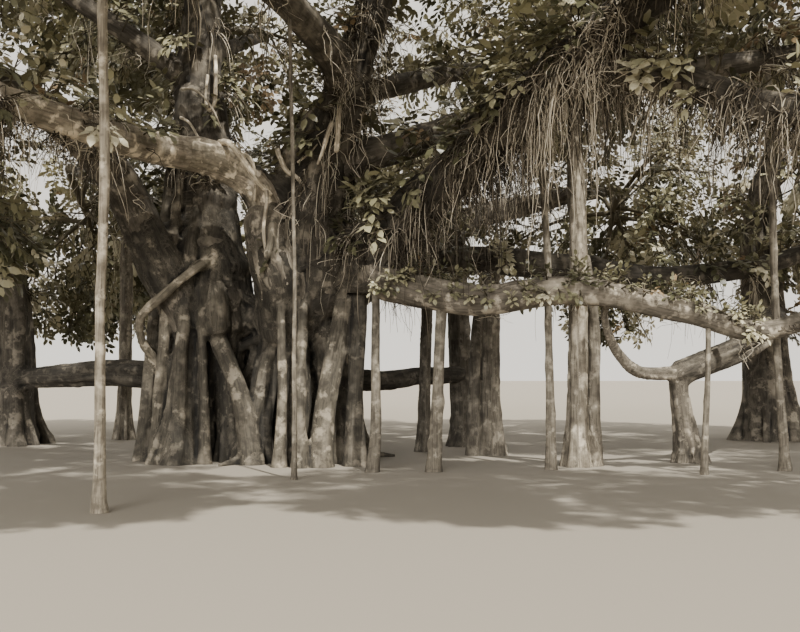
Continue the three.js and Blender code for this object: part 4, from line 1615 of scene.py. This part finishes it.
    @staticmethod
    def surface_root(x: float, y: float, angle: float) -> Limb:
        """A root that runs out along the ground from a column's foot.

        Args:
            x: the foot's place.
            y: the foot's place.
            angle: the way the root runs.

        Returns:
            The root.
        """
        path = tuple(
            (x + far * math.cos(angle), y + far * math.sin(angle), height)
            for far, height in ((-0.1, 0.26), (SURFACE_ROOT_LENGTH / 2, 0.06), (SURFACE_ROOT_LENGTH, 0.01))
        )
        return Limb("surface_root", (SURFACE_ROOT_RADIUS, 0.03), path)

    def sleeves(self) -> list[tuple[str, Limb, Route, float]]:
        """The boughs' first stretches, which are fused into the fork.

        Returns:
            Each bough's name, radii and bark route, and the share of the route that is fused.
        """
        found = []
        for name, reach in self.SLEEVES.items():
            route = self.plan.bark_route(name)
            found.append((name, self.plan.limbs[name], route, min(reach / route.length, 1.0)))
        return found

    def core(self, columns: Sequence[Limb]) -> Piece:
        """Fuses the cores with the boughs' first stretches, with a web of wood in every crotch.

        Args:
            columns: the trunk's cores and columns.

        Returns:
            The smooth body that the roots lie on.
        """
        plain = Relief(1, 0.0, 0.05)
        wraps = []
        for seed, limb in enumerate(limb for limb in columns if limb.name == "core"):
            skin = BarkSkin(limb, limb.route(), plain, seed, self.core_pitch, fit=self.core_fit)
            wraps.append(skin.wrap("core", cut=False))
        for seed, (name, limb, route, share) in enumerate(self.sleeves()):
            skin = BarkSkin(limb, route, plain, seed, self.core_pitch, (0.0, share), self.sleeve_core_fit)
            wraps.append(skin.wrap(f"{name}_core", cut=False))
        return fused(wraps, "body", self.core_voxel, self.web)

    def strands(self, columns: Sequence[Limb], rng: Random) -> list[tuple[Limb, Route]]:
        """Thin roots that creep up the columns.

        Args:
            columns: what they creep on.
            rng: random numbers.

        Returns:
            Each root's radii and route.
        """
        found = []
        for column in columns:
            if column.name == "surface_root":
                continue
            core = column.name == "core"
            count = self.strands_per_column * (2 if core else 1)
            found += creeping_roots(column, column.route(), count, self.strand_radius, rng,
                                    self.core_fit if core else (1.0, 1.0))
        return found

    def climbers(self, body: Piece, rng: Random) -> list[tuple[Limb, Route]]:
        """Roots that climb from the ground over the fused body and out along the boughs.

        Args:
            body: the smooth body that they lie on.
            rng: random numbers.

        Returns:
            Each root's radii and route.
        """
        found = []
        sides = {"left": CLUSTERS[0], "right": CLUSTERS[1]}
        for (side_name, bough), count in self.CLIMBS:
            cluster = sides[side_name]
            share = min(self.SLEEVES[bough] / self.plan.routes[bough].length, 1.0)
            above = self.plan.routes[bough].at(np.linspace(0.25 * share, share * 1.02, 4))
            axis = Route([(*cluster.centre, -BELOW_GROUND), (*cluster.head, CORE_HEIGHT * 0.62), *above])
            for k in range(count):
                lowest, highest = rng.uniform(0, 0.25), rng.uniform(0.7, 1.0)
                shares = np.linspace(lowest, highest, 13)
                middle = axis.at(shares)
                _, side, other = axis.frames(shares)
                drift = rng.uniform(-0.8, 0.8) * (shares - lowest) + np.cumsum(rng.normal(0, 0.05, 13))
                angles = FULL_TURN * (k + rng.uniform(-0.4, 0.4)) / count + drift
                outward = side * np.cos(angles)[:, None] + other * np.sin(angles)[:, None]
                thick = rng.uniform(*self.climber_radii)
                places = []
                for origin, way in zip(middle, outward):
                    hit, spot, _, _ = body.ray_cast(Vector(origin), Vector(way))
                    if hit:
                        places.append(np.array(spot) + way * thick * 0.25)
                if len(places) > 3:
                    found.append((Limb("climber", (thick, thick * 0.45), ()), Route(places)))
        return found

    def build(self) -> None:
        """Fuses the body, lays every root on it, fuses them all into one skin, dresses it and parts it."""
        rng = np.random.default_rng(TRUNK_SEED)
        columns = self.columns()
        body = self.core(columns)
        parts = [(limb, limb.route()) for limb in columns if limb.name != "core"]
        first = len(parts)
        parts += [(feature.limb, feature.limb.route()) for feature in self.FEATURES]
        parts += self.strands(columns, rng)
        parts += self.climbers(body, rng)
        dealt = np.random.default_rng(TINT_SEED).uniform(*self.root_tints, len(parts))
        dealt[first:first + len(self.FEATURES)] = [feature.tint for feature in self.FEATURES]
        wraps, routes, tints = [body], [], list(dealt)
        for seed, (limb, route) in enumerate(parts):
            relief = Relief(3, 0.1, 0.08) if limb.radii[0] < self.thick_root else Relief(7, 0.2, 0.05)
            wraps.append(BarkSkin(limb, route, relief, seed, self.pitch).wrap(f"root_{seed}", cut=False))
            routes.append(route)
        for name, limb, route, share in self.sleeves():
            skin = BarkSkin(limb, route, BOUGH_RELIEF, bough_seed(name), self.pitch, (0.0, share),
                            self.sleeve_fit)
            wraps.append(skin.wrap(f"{name}_sleeve", cut=False))
            routes.append(route.part(0.0, share))
            tints.append(TINTS.get(name, 0.0))
        skin = fused(wraps, "trunk_bark", self.voxel * (1))
        cut_level(skin)
        dress(skin, routes, tints, self.finishes.bark[BarkKind.TRUNK], self.carving)
        self.split(skin)

    def split(self, skin: Piece) -> None:
        """Parts the skin level at the fork, so that neither piece has too many faces.

        Args:
            skin: the skin of trunk and fork.
        """
        fork = skin.copy()
        fork.data = skin.data.copy()
        fork.name = fork.data.name = "fork_bark"
        bpy.context.scene.collection.objects.link(fork)
        cut_level(fork, self.fork_height, keep_above=True)
        cut_level(skin, self.fork_height, keep_above=False)
        place(skin, "bark", ["trunk"])
        place(fork, "bark")


@dataclass
class Bough:
    """One limb, wrapped in bark."""

    plan: TreePlan
    finishes: Finishes
    name: str
    seed: int
    kind: BarkKind = BarkKind.BOUGH
    relief: Relief = BOUGH_RELIEF
    pitch: float = 0.055

    def build(self) -> None:
        """Wraps the limb, carves it and dresses it."""
        limb, route = self.plan.limbs[self.name], self.plan.bark_route(self.name)
        piece = BarkSkin(limb, route, self.relief, self.seed, self.pitch).wrap(f"{self.name}_bark")
        carving = Carving(min(0.02, limb.radii[1] * 0.12))
        dress(piece, [route], [TINTS.get(self.name, 0.0)], self.finishes.bark[self.kind], carving)
        place(piece, self.kind.slot, [self.name])


@dataclass
class FusedLimbs:
    """Limbs that have grown together, with thin roots creeping on them, in one skin."""

    plan: TreePlan
    finishes: Finishes
    name: str
    limbs: tuple[str, ...]
    seed: int
    kind: BarkKind = BarkKind.BOUGH
    voxel: float = 0.042
    web: float = 0.0
    roots_each: int = 7
    root_share: float = 0.2
    beside: tuple[Feature, ...] = ()
    carving: Carving = Carving(0.014, 0.025, 12)

    def build(self) -> None:
        """Wraps the limbs, webs them together, lays the roots on, fuses them all and dresses the skin."""
        rng = np.random.default_rng(self.seed)
        wraps, routes, tints, found = [], [], [], []
        for order, name in enumerate(self.limbs):
            limb, route = self.plan.limbs[name], self.plan.bark_route(name)
            skin = BarkSkin(limb, route, BOUGH_RELIEF, self.seed + order, self.voxel * 1.6)
            wraps.append(skin.wrap(f"{name}_wrap", cut=False))
            routes.append(route)
            tints.append(TINTS.get(name, 0.0))
            thick = limb.radii[0] * self.root_share
            for root, way in creeping_roots(limb, route, self.roots_each, thick, rng):
                found.append((root, way, tints[-1] + rng.uniform(-0.5, 0.4)))
        found += [(feature.limb, feature.limb.route(), feature.tint) for feature in self.beside]
        pieces = [fused(wraps, "body", self.voxel * 1.5, self.web)] if self.web else wraps
        for order, (root, way, tint) in enumerate(found):
            skin = BarkSkin(root, way, CREEPING_RELIEF, order, self.voxel * 1.3)
            pieces.append(skin.wrap(f"root_{order}", cut=False))
            routes.append(way)
            tints.append(tint)
        skin = fused(pieces, f"{self.name}_bark", self.voxel)
        if self.plan.limbs[self.limbs[0]].foot:
            cut_level(skin)
        dress(skin, routes, tints, self.finishes.bark[self.kind], self.carving)
        place(skin, self.kind.slot, self.limbs)


@dataclass
class PaleRoots:
    """Roots that creep and hang one by one, each wrapped in pale bark, joined."""

    finishes: Finishes
    roots: tuple[Feature, ...]
    pitch: float = 0.018

    def build(self) -> None:
        """Wraps each root, joins them and dresses them."""
        routes = [Route(root.path) for root in self.roots]
        wraps = [
            BarkSkin(Limb("pale_root", root.radii, ()), route, PALE_RELIEF, seed,
                     self.pitch).wrap("pale_root")
            for seed, (root, route) in enumerate(zip(self.roots, routes))
        ]
        piece = joined(wraps, "pale_roots_bark")
        tints = [root.tint for root in self.roots]
        dress(piece, routes, tints, self.finishes.bark[BarkKind.ROOT], Carving(0.004))
        place(piece, "root_bark")


@dataclass(frozen=True)
class FineRoots:
    """How fine roots are made: their radii, what is left of them at the tip, and their mix of shades."""

    finishes: Finishes
    radii: Pair
    tip: float
    mix: FibreMix = FibreMix.MIXED

    def piece(self, name: str, centres: Array, rng: Random) -> Piece:
        """Makes many fine roots as one mesh.

        Args:
            name: the piece's name.
            centres: places along each root, as roots by places by three.
            rng: random numbers.

        Returns:
            The new object.
        """
        count = len(centres)
        thin = np.linspace(1, self.tip, centres.shape[1])
        points, triangles = tubes(centres, rng.uniform(*self.radii, (count, 1)) * thin)
        dealt = np.repeat(rng.choice(3, count, p=self.mix.value), len(triangles) // count)
        return mesh_piece(name, points, triangles, self.finishes.fibres, dealt)


@dataclass
class HangingRoots:
    """Fine roots that drape over the flanks of a bough and hang free, as one joined mesh."""

    plan: TreePlan
    finishes: Finishes
    fringe: Fringe
    name: str
    seed: int
    bunch: float = 0.14
    roots_per_bunch: int = 7
    hanging_sections: int = 7
    flank: float = 0.56
    fits: Point = (0.94, 1.09, 1.13)
    sway: float = 0.09
    lock: float = 0.9
    over_ground: float = 0.3

    def build(self) -> None:
        """Starts the roots in bunches on the bough's skin, lets them run to its flank and then hang."""
        fringe, rng = self.fringe, np.random.default_rng(self.seed)
        count = max(8, fringe.strands // (1))
        low, high = fringe.stretch
        bunches = max(4, count // self.roots_per_bunch)
        pick = rng.integers(0, bunches, count)
        scatter = self.bunch / self.plan.routes[fringe.bough].length
        shares = np.clip(rng.uniform(low, high, bunches)[pick] + rng.normal(0, scatter, count), low, high)
        turns = rng.uniform(-fringe.drape, fringe.drape, bunches)[pick] + rng.normal(0, 0.04, count)
        begin = math.pi * (1 - np.abs(turns)) * np.sign(turns)
        leave = np.sign(begin) * np.maximum(np.abs(begin), self.flank * math.pi)
        middle, radius, ahead, aside, over = self.plan.round_limb(fringe.bough, shares)
        draped = []
        for angles, fit in zip((begin, (begin + leave) / 2, leave), self.fits):
            outward = aside * np.sin(angles)[:, None] + over * np.cos(angles)[:, None]
            draped.append(middle + outward * (radius * fit)[:, None])
        start = draped[-1]
        bulge = np.sin(math.pi * np.clip((shares - low) / (high - low), 0.12, 0.88))
        longest = fringe.drop[0] + (fringe.drop[1] - fringe.drop[0]) * bulge
        length = longest * rng.uniform(0.15, 1.0, bunches)[pick] * rng.triangular(0.3, 0.9, 1.3, count)
        length = np.minimum(length, start[:, 2] - self.over_ground)
        steps = np.linspace(0, 1, self.hanging_sections + 1)[1:, None, None]
        outward = (start - middle) * [1, 1, 0] / np.maximum(radius, 0.05)[:, None]
        spread = outward * (0.04 + 0.5 * rng.random((count, 1)) ** 3) + ahead * rng.normal(0, 0.1, (count, 1))
        sway = rng.normal(0, self.sway, (count, 3)) * [1, 1, 0]
        waves = np.sin(steps * rng.uniform(2, 6, (count, 1)) + rng.uniform(0, 6, (count, 1)))
        waves = waves + 0.4 * np.sin(steps * rng.uniform(8, 15, (count, 1)) + rng.uniform(0, 6, (count, 1)))
        held = np.maximum(np.bincount(pick, minlength=bunches), 1)
        middles = np.stack([np.bincount(pick, column, bunches) / held for column in start.T], axis=1)
        gather = (middles[pick] - start) * [1, 1, 0] * self.lock * rng.uniform(0.3, 1.1, (count, 1))
        hanging = start + spread * (1 - (1 - steps) ** 2) + sway * waves + gather * steps
        hanging = hanging - UP * (length[:, None] * (0.5 * steps + 0.5 * steps ** 1.5))
        centres = np.concatenate([np.array(draped), hanging]).transpose(1, 0, 2)
        piece = FineRoots(self.finishes, fringe.radii, 0.3, fringe.mix).piece(self.name, centres, rng)
        place(piece, "root_bark", [fringe.node])


@dataclass
class RootTufts:
    """Tufts of fine roots that stand out from the boughs all round and droop, as one joined mesh."""

    plan: TreePlan
    finishes: Finishes
    seed: int = 400
    roots_each: int = 22
    reach: Pair = (0.35, 1.1)
    sections: int = 8

    def build(self) -> None:
        """Picks places on the flanks of the boughs and lets each tuft's roots out of one."""
        rng = np.random.default_rng(self.seed)
        spots, outwards = [], []
        for growth in TUFTS:
            shares = np.sort(rng.uniform(growth.low, growth.high, growth.count // (1)))
            middle, radius, _, aside, over = self.plan.round_limb(growth.bough, shares)
            angles = rng.choice([-1, 1], len(shares)) * rng.uniform(0.7, 2.7, len(shares))
            outward = aside * np.sin(angles)[:, None] + over * np.cos(angles)[:, None]
            spots.append(middle + outward * radius[:, None] * 0.9)
            outwards.append(outward)
        spot = np.repeat(np.concatenate(spots), self.roots_each, axis=0)
        outward = np.repeat(np.concatenate(outwards), self.roots_each, axis=0)
        count = len(spot)
        way = unit(outward * 0.8 + rng.normal(0, 0.55, (count, 3)))
        length = rng.uniform(*self.reach, (count, 1))[:, None]
        steps = np.linspace(0, 1, self.sections)[None, :, None]
        droop = rng.uniform(0.5, 1.1, (count, 1))[:, None]
        curl = rng.normal(0, 0.07, (count, 1, 3)) * np.sin(steps * rng.uniform(3, 7, (count, 1, 1)))
        start = spot + rng.normal(0, 0.05, (count, 3))
        line = way[:, None] * (steps - 0.45 * steps ** 2) - UP * droop * steps ** 2
        centres = start[:, None] + length * line + curl * steps
        piece = FineRoots(self.finishes, (0.006, 0.013), 0.35).piece("bough_root_tufts", centres, rng)
        place(piece, "root_bark")


def leaf_blades(
    bases: Array, axes: Array, normals: Array, lengths: Array
) -> Arrays:
    """Broad oval leaves of four faces, bent down along their length.

    Args:
        bases: where each leaf starts.
        axes: the unit way to its tip.
        normals: about the way its upper face looks.
        lengths: each leaf's length.

    Returns:
        Corners and triangles of all the leaves.
    """
    across = unit(np.cross(normals, axes))
    upper = np.cross(axes, across)
    outline = ((0.0, 0.0, 0.0), (0.3, -0.25, 0.03), (0.3, 0.25, 0.03), (0.68, -0.24, 0.0), (0.68, 0.24, 0.0),
               (1.0, 0.0, -0.12))
    size = lengths[:, None]
    points = np.stack([
        bases + size * (along * axes + aside * across + lift * upper) for along, aside, lift in outline
    ], axis=1)
    return repeated(points, np.array([[0, 1, 2], [1, 3, 4], [1, 4, 2], [3, 5, 4]]))


@dataclass
class Spray:
    """Leaves along many twigs at once."""

    rng: Random
    finishes: Finishes
    spacing: float = 0.053
    leaf: Pair = (0.13, 0.24)
    most: int = 19

    def piece(
        self, name: str, roots: Array, tips: Array, facing: Array, tones: Array, scale: Array | float = 1.0
    ) -> Piece:
        """Sets leaves alternately along twigs, and makes them one joined mesh.

        Args:
            name: the piece's name.
            roots: where each twig starts.
            tips: where it ends.
            facing: the way each spray faces.
            tones: the number of each twig's leaf tone.
            scale: a factor on the leaves of each twig, if they differ.

        Returns:
            The new object.
        """
        along = tips - roots
        length = np.linalg.norm(along, axis=1)
        counts = np.clip((length / self.spacing).astype(int), 3, self.most)
        twig = np.repeat(np.arange(len(roots)), counts)
        order = np.concatenate([np.arange(n) for n in counts])
        share = (order + 1.0) / counts[twig]
        share = 0.12 + 0.88 * share
        ahead = unit(along)[twig]
        base = roots[twig] + along[twig] * share[:, None]
        normal = unit(facing[twig] + self.rng.normal(0, 0.28, base.shape) + 0.45 * UP)
        flank = unit(np.cross(normal, ahead)) * np.where(order % 2, 1.0, -1.0)[:, None]
        lean = np.where(share > 0.97, 0.15, 1.0)[:, None] * self.rng.uniform(0.6, 1.3, (len(base), 1))
        axis = unit(ahead * 0.8 + flank * lean + normal * self.rng.normal(0, 0.2, (len(base), 1)) - 0.22 * UP)
        size = self.rng.uniform(*self.leaf, len(base)) * np.broadcast_to(scale, len(roots))[twig]
        points, triangles = leaf_blades(base + flank * 0.015, axis, normal, size)
        dealt = np.repeat(tones[twig], len(triangles) // len(base))
        return mesh_piece(name, points, triangles, self.finishes.leaves, dealt, smooth=False)


@dataclass
class BoughShoots:
    """Short leafy shoots that stand straight on the boughs, all joined."""

    plan: TreePlan
    finishes: Finishes
    seed: int = 300
    twigs_each: int = 5

    def build(self) -> None:
        """Sets the shoots on the upper sides of the boughs and makes their wood and leaves."""
        rng = np.random.default_rng(self.seed)
        starts, ends, sizes = [], [], []
        for growth in SHOOTS:
            shares = np.sort(rng.uniform(growth.low, growth.high, growth.count // (1)))
            middle, radius, ahead, aside, over = self.plan.round_limb(growth.bough, shares)
            angles = rng.uniform(-1.9, 1.9, len(shares))[:, None]
            outward = aside * np.sin(angles) + over * np.cos(angles)
            lean = ahead * rng.uniform(-0.5, 0.7, (len(shares), 1))
            way = unit(outward + lean + rng.normal(0, 0.25, outward.shape))
            root = middle + outward * radius[:, None] * 0.92
            starts.append(root)
            ends.append(root + way * growth.size * rng.uniform(0.5, 1.15, (len(shares), 1)))
            sizes.append(np.full(len(shares), growth.size))
        starts, ends = np.concatenate(starts), np.concatenate(ends)
        size = np.repeat(np.concatenate(sizes), self.twigs_each)[:, None]
        owner = np.repeat(np.arange(len(starts)), self.twigs_each)
        share = rng.uniform(0.3, 1.0, (len(owner), 1))
        along = (ends - starts)[owner]
        roots = starts[owner] + along * share
        way = unit(unit(along) + rng.normal(0, 0.65, along.shape))
        tips = roots + way * size * rng.uniform(0.4, 0.8, share.shape)
        tones = rng.choice(len(LeafTone), len(starts), p=LEAF_SHARES)[owner]
        spray = Spray(rng, self.finishes, spacing=0.075, leaf=(0.14, 0.25))
        scale = np.clip(size.ravel() / 0.5, 0.55, 1.0)
        facing = unit(unit(along) + 0.7 * UP)
        place(spray.piece("bough_shoot_leaves", roots, tips, facing, tones, scale), "foliage")
        stalks = tubes(np.stack([starts, (starts + ends) / 2 + 0.03 * UP, ends], axis=1),
                       np.broadcast_to([0.017, 0.012, 0.006], (len(starts), 3)))
        wood = merged([stalks, spikes(roots, tips, 0.009)])
        place(mesh_piece("bough_shoot_twigs", *wood, [self.finishes.twig]), "bark")


@dataclass
class FoliageMass:
    """One mass of foliage, grown on from its bough by the solid's rule and carried to single leaves."""

    plan: TreePlan
    finishes: Finishes
    mass: Mass
    number: int
    sprays_each: int = 13
    stem_sprays: int = 12
    twigs_each: int = 9
    finer_boughlets: int = 4
    stray_share: float = 0.3

    def boughlets(self, stem: Route) -> Arrays:
        """The mass's boughlets: those of the solid, and finer ones half-way between them.

        Args:
            stem: the stem they leave.

        Returns:
            Their roots and ends.
        """
        mass, random = self.mass, SeededRandom(MASS_SEED + self.number)
        axis = unit(stem.at(1.0) - stem.at(0.6))
        across = unit(np.cross(np.array([0.2, 0.9, 0.35]), axis))
        start = FULL_TURN * random()
        roots, ends = [], []
        finer = np.arange(min(self.finer_boughlets, mass.boughlets - 1)) + 0.5
        for order in (*range(mass.boughlets), *finer):
            share = order / (mass.boughlets - 1)
            angle = np.interp(share, (0, 1), BOUGHLET_ANGLES)
            sideways = turned(across, axis, start + order * GOLDEN_ANGLE)
            direction = sideways * math.sin(angle) + axis * math.cos(angle)
            root = stem.at(np.interp(share, (0, 1), BOUGHLET_ROOTS))
            for reach in BOUGHLET_REACHES:
                end = np.array(mass.centre) + direction * np.array(mass.reach) * reach
                if self.plan.holds(mass, end[None])[0]:
                    roots.append(root)
                    ends.append(end)
                    break
        return np.array(roots), np.array(ends)

    def branchlets(
        self, roots: Array, ends: Array, rng: Random
    ) -> Arrays:
        """Sprays' own stalks, in a spiral round the stem and each boughlet.

        Args:
            roots: where the stem's last stretch and each boughlet start.
            ends: where they end.
            rng: random numbers.

        Returns:
            The stalks' roots and tips, and the way each spray faces.
        """
        centre, reach = np.array(self.mass.centre), np.array(self.mass.reach)
        found_roots, found_tips, found_facing = [], [], []
        for k, (root, end) in enumerate(zip(roots, ends)):
            count = self.stem_sprays if k == 0 else self.sprays_each
            ahead = unit(end - root)
            side = unit(np.cross(ahead, np.array([0.3, 0.2, 0.93])))
            turn = rng.uniform(0, FULL_TURN)
            for i in range(count):
                share = 0.22 + 0.78 * (i + 1) / count
                spot = root + (end - root) * share
                radial = turned(side, ahead, turn + i * GOLDEN_ANGLE)
                lean = np.interp(share, (0.2, 1), (1.5, 0.5)) + rng.normal(0, 0.12)
                outward = unit((spot - centre) / reach)
                way = unit(ahead * math.cos(lean) + radial * math.sin(lean) + outward * 0.45)
                sizes = np.array(SPRAY_SIZES) * rng.uniform(0.82, 1.0)
                tips = spot + way * (sizes * SPRAY_LENGTH)[:, None]
                fits = self.plan.holds(self.mass, tips) & self.plan.clear(tips, 0.1)
                if not fits.any():
                    continue
                found_roots.append(spot)
                found_tips.append(tips[np.argmax(fits)])
                found_facing.append(unit(outward + rng.normal(0, 0.4, 3) + 0.5 * UP))
        return np.array(found_roots), np.array(found_tips), np.array(found_facing)

    def twigs(
        self, roots: Array, tips: Array, facing: Array, rng: Random
    ) -> Arrays:
        """Twigs left and right of each stalk, longest where the solid's spray is widest.

        Args:
            roots: the stalks' roots.
            tips: the stalks' tips.
            facing: the way each spray faces.
            rng: random numbers.

        Returns:
            The twigs' roots, tips and facing, and the number of the stalk of each.
        """
        stalks = len(roots)
        owner = np.repeat(np.arange(stalks), self.twigs_each)
        order = np.tile(np.arange(self.twigs_each), stalks)
        share = 0.16 + 0.8 * (order + 0.5) / self.twigs_each
        along = (tips - roots)[owner]
        length = np.linalg.norm(along, axis=1, keepdims=True)
        ahead = along / length
        face = facing[owner]
        flank = unit(np.cross(face, ahead)) * np.where(order % 2, 1.0, -1.0)[:, None]
        angle = rng.uniform(0.75, 1.05, (len(owner), 1))
        tilt = rng.normal(0, 0.28, (len(owner), 1))
        way = ahead * np.cos(angle) + flank * np.sin(angle) + unit(face) * tilt
        broad = np.interp(share, (0, SPRAY_WAIST, 1), (0.55, 1.0, 0.3))[:, None]
        size = SPRAY_WIDTH / 2 * broad * (length / SPRAY_LENGTH) ** 0.6
        size = size * rng.uniform(0.75, 1.1, (len(owner), 1))
        starts = roots[owner] + along * share[:, None]
        ends = starts + unit(way) * size - 0.06 * UP
        starts = np.concatenate([starts, roots + 0.8 * (tips - roots)])
        ends = np.concatenate([ends, tips])
        owner = np.concatenate([owner, np.arange(stalks)])
        keep = self.plan.holds(self.mass, ends) & self.plan.clear(ends, 0.12)
        return starts[keep], ends[keep], facing[owner][keep], owner[keep]

    def build(self) -> None:
        """Grows the mass and makes its wood and its leaves, each as one joined mesh."""
        rng = np.random.default_rng(MASS_SEED + self.number)
        stem = self.plan.stem(self.mass)
        roots, ends = self.boughlets(stem)
        stalk_roots, stalk_tips, facing = self.branchlets(
            np.vstack([stem.at(0.45), roots]), np.vstack([stem.at(1.0), ends]), rng
        )
        twig_roots, twig_tips, twig_facing, owner = self.twigs(stalk_roots, stalk_tips, facing, rng)
        tones = rng.choice(len(LeafTone), len(stalk_roots), p=LEAF_SHARES)[owner]
        stray = rng.random(len(tones)) < self.stray_share
        tones = np.where(stray, rng.choice(len(LeafTone), len(tones), p=LEAF_SHARES), tones)
        spray = Spray(rng, self.finishes, spacing=Spray.spacing)
        name = self.mass.name
        place(spray.piece(f"{name}_leaves", twig_roots, twig_tips, twig_facing, tones), "foliage", [name])
        wood = self.wood(stem, (roots, ends), (stalk_roots, stalk_tips), (twig_roots, twig_tips), rng)
        place(wood, "bark")

    def wood(
        self,
        stem: Route,
        boughlets: Arrays,
        stalks: Arrays,
        twigs: Arrays,
        rng: Random,
    ) -> Piece:
        """Joins the stem, boughlets, stalks and twigs.

        Args:
            stem: the stem's route.
            boughlets: roots and ends of the boughlets.
            stalks: roots and tips of the sprays' stalks.
            twigs: roots and tips of the twigs.
            rng: random numbers.

        Returns:
            One object with them all.
        """
        fit = 0.98 if self.mass.share is None else 0.8
        first = self.plan.limbs[self.mass.bough].radii[1] * fit
        shares = np.linspace(0, 1, 16)
        radii = np.linspace(first, STEM_TIP_RADIUS * 0.5, len(shares))
        parts = [tubes(stem.at(shares)[None], radii[None], 9)]
        for (starts, ends), (thick, thin), sections, sides, bend in (
            (boughlets, (0.075, 0.028), 7, 6, 0.2),
            (stalks, (0.03, 0.009), 5, 3, 0.16),
        ):
            steps = np.linspace(0, 1, sections)
            centres = starts[:, None] + (ends - starts)[:, None] * steps[None, :, None]
            arch = np.sin(math.pi * steps)[None, :, None] * bend
            length = np.linalg.norm(ends - starts, axis=1)[:, None, None]
            centres = centres + arch * length * 0.3 * (UP + rng.normal(0, 0.5, (len(starts), 1, 3)))
            radii = np.broadcast_to(thick + (thin - thick) * steps, centres.shape[:2])
            parts.append(tubes(centres, radii, sides))
        parts.append(spikes(*twigs, 0.013))
        return mesh_piece(f"{self.mass.name}_twigs", *merged(parts), [self.finishes.twig])


@dataclass
class Studio:
    """A plain pale floor, soft light, and the camera where the photograph was taken."""

    floor_side: float = 3000.0
    under_tree: float = 0.002
    sky: str = "#e9e4da"
    sky_strength: float = 1.65
    sensor: float = 36.0
    farthest: float = 2500.0

    def build(self) -> None:
        """Sets up floor, light and camera."""
        self.floor()
        self.light()
        self.camera()

    def floor(self) -> None:
        """Lays the floor."""
        deselect_all()
        bpy.ops.mesh.primitive_plane_add(size=self.floor_side, location=(0, 0, -self.under_tree))
        floor = bpy.context.object
        floor.name = "floor"
        # Matt paper: pale and plain, so that only the tree's shade marks it
        floor.data.materials.append(PlainFinish("pale_floor", "#918a7e", 0.9).material())

    def light(self) -> None:
        """Lights the tree with a pale sky, a soft sun from above, and a broad weak one from the front."""
        world = bpy.data.worlds.new("pale_sky")
        world.use_nodes = True
        background = world.node_tree.nodes["Background"]
        background.inputs["Color"].default_value = linear(self.sky)
        background.inputs["Strength"].default_value = self.sky_strength
        bpy.context.scene.world = world
        self.sun("key_sun", 6.4, 1.2, (1.0, 0.96, 0.88), (7, -13, 21))
        self.sun("front_sun", 3.0, 30, (1.0, 0.97, 0.93), (-5, -20, 6))

    def sun(self, name: str, strength: float, spread: float, tint: Point, source: Point) -> None:
        """Adds a sun.

        Args:
            name: its name.
            strength: watts on each square metre.
            spread: degrees that it covers in the sky.
            tint: its colour.
            source: a place that it shines from, towards the tree's foot.
        """
        light = bpy.data.lights.new(name, "SUN")
        light.energy = strength
        light.angle = math.radians(spread)
        light.color = tint
        holder = bpy.data.objects.new(name, light)
        bpy.context.scene.collection.objects.link(holder)
        holder.location = source
        holder.rotation_euler = (-Vector(source)).to_track_quat("-Z", "Y").to_euler()

    def camera(self) -> None:
        """Puts the camera at the photographer's eye, level, with the horizon where it was."""
        data = bpy.data.cameras.new("camera")
        data.sensor_width = self.sensor
        data.lens = Framing.FOCAL_PIXELS.value / Framing.WIDTH_PIXELS.value * self.sensor
        below = Framing.HORIZON_PIXEL.value - Framing.HEIGHT_PIXELS.value / 2
        data.shift_y = below / Framing.WIDTH_PIXELS.value
        data.clip_end = self.farthest
        camera = bpy.data.objects.new("camera", data)
        bpy.context.scene.collection.objects.link(camera)
        camera.location = Framing.EYE.value
        camera.rotation_euler = (math.pi / 2, 0, 0)
        bpy.context.scene.camera = camera


def main() -> None:
    """Builds the tree in order."""
    logging.basicConfig(level=logging.INFO, format="%(message)s")
    plan = TreePlan()
    finishes = Finishes()
    Studio().build()
    Trunk(plan, finishes).build()
    fused = [name for group in OUTER_GROUPS.values() for name in group]
    for limb in LIMBS:
        if limb.name not in fused:
            Bough(plan, finishes, limb.name, bough_seed(limb.name)).build()
    for seed, (name, group) in enumerate(OUTER_GROUPS.items()):
        FusedLimbs(plan, finishes, name, group, OUTER_SEED + seed, web=OUTER_WEB).build()
    for seed, prop in enumerate(PROPS, PROP_BARK_SEED):
        if prop.radii[0] > THICK_PROP:
            FusedLimbs(plan, finishes, prop.name, (prop.name,), seed, BarkKind.ROOT, PROP_VOXEL,
                       beside=BESIDE.get(prop.name, ())).build()
        else:
            Bough(plan, finishes, prop.name, seed, BarkKind.ROOT, ROOT_RELIEF, PROP_PITCH).build()
    for seed, fringe in enumerate(CURTAINS, CURTAIN_SEED):
        HangingRoots(plan, finishes, fringe, f"{fringe.node}_strands", seed).build()
    for number, fringe in enumerate(SHAGS):
        HangingRoots(plan, finishes, fringe, f"{fringe.bough}_shag_{number}", SHAG_SEED + number).build()
    PaleRoots(finishes, PALE_ROOTS).build()
    RootTufts(plan, finishes).build()
    BoughShoots(plan, finishes).build()
    for number, mass in enumerate(MASSES):
        FoliageMass(plan, finishes, mass, number).build()


if __name__ == "__main__":
    main()
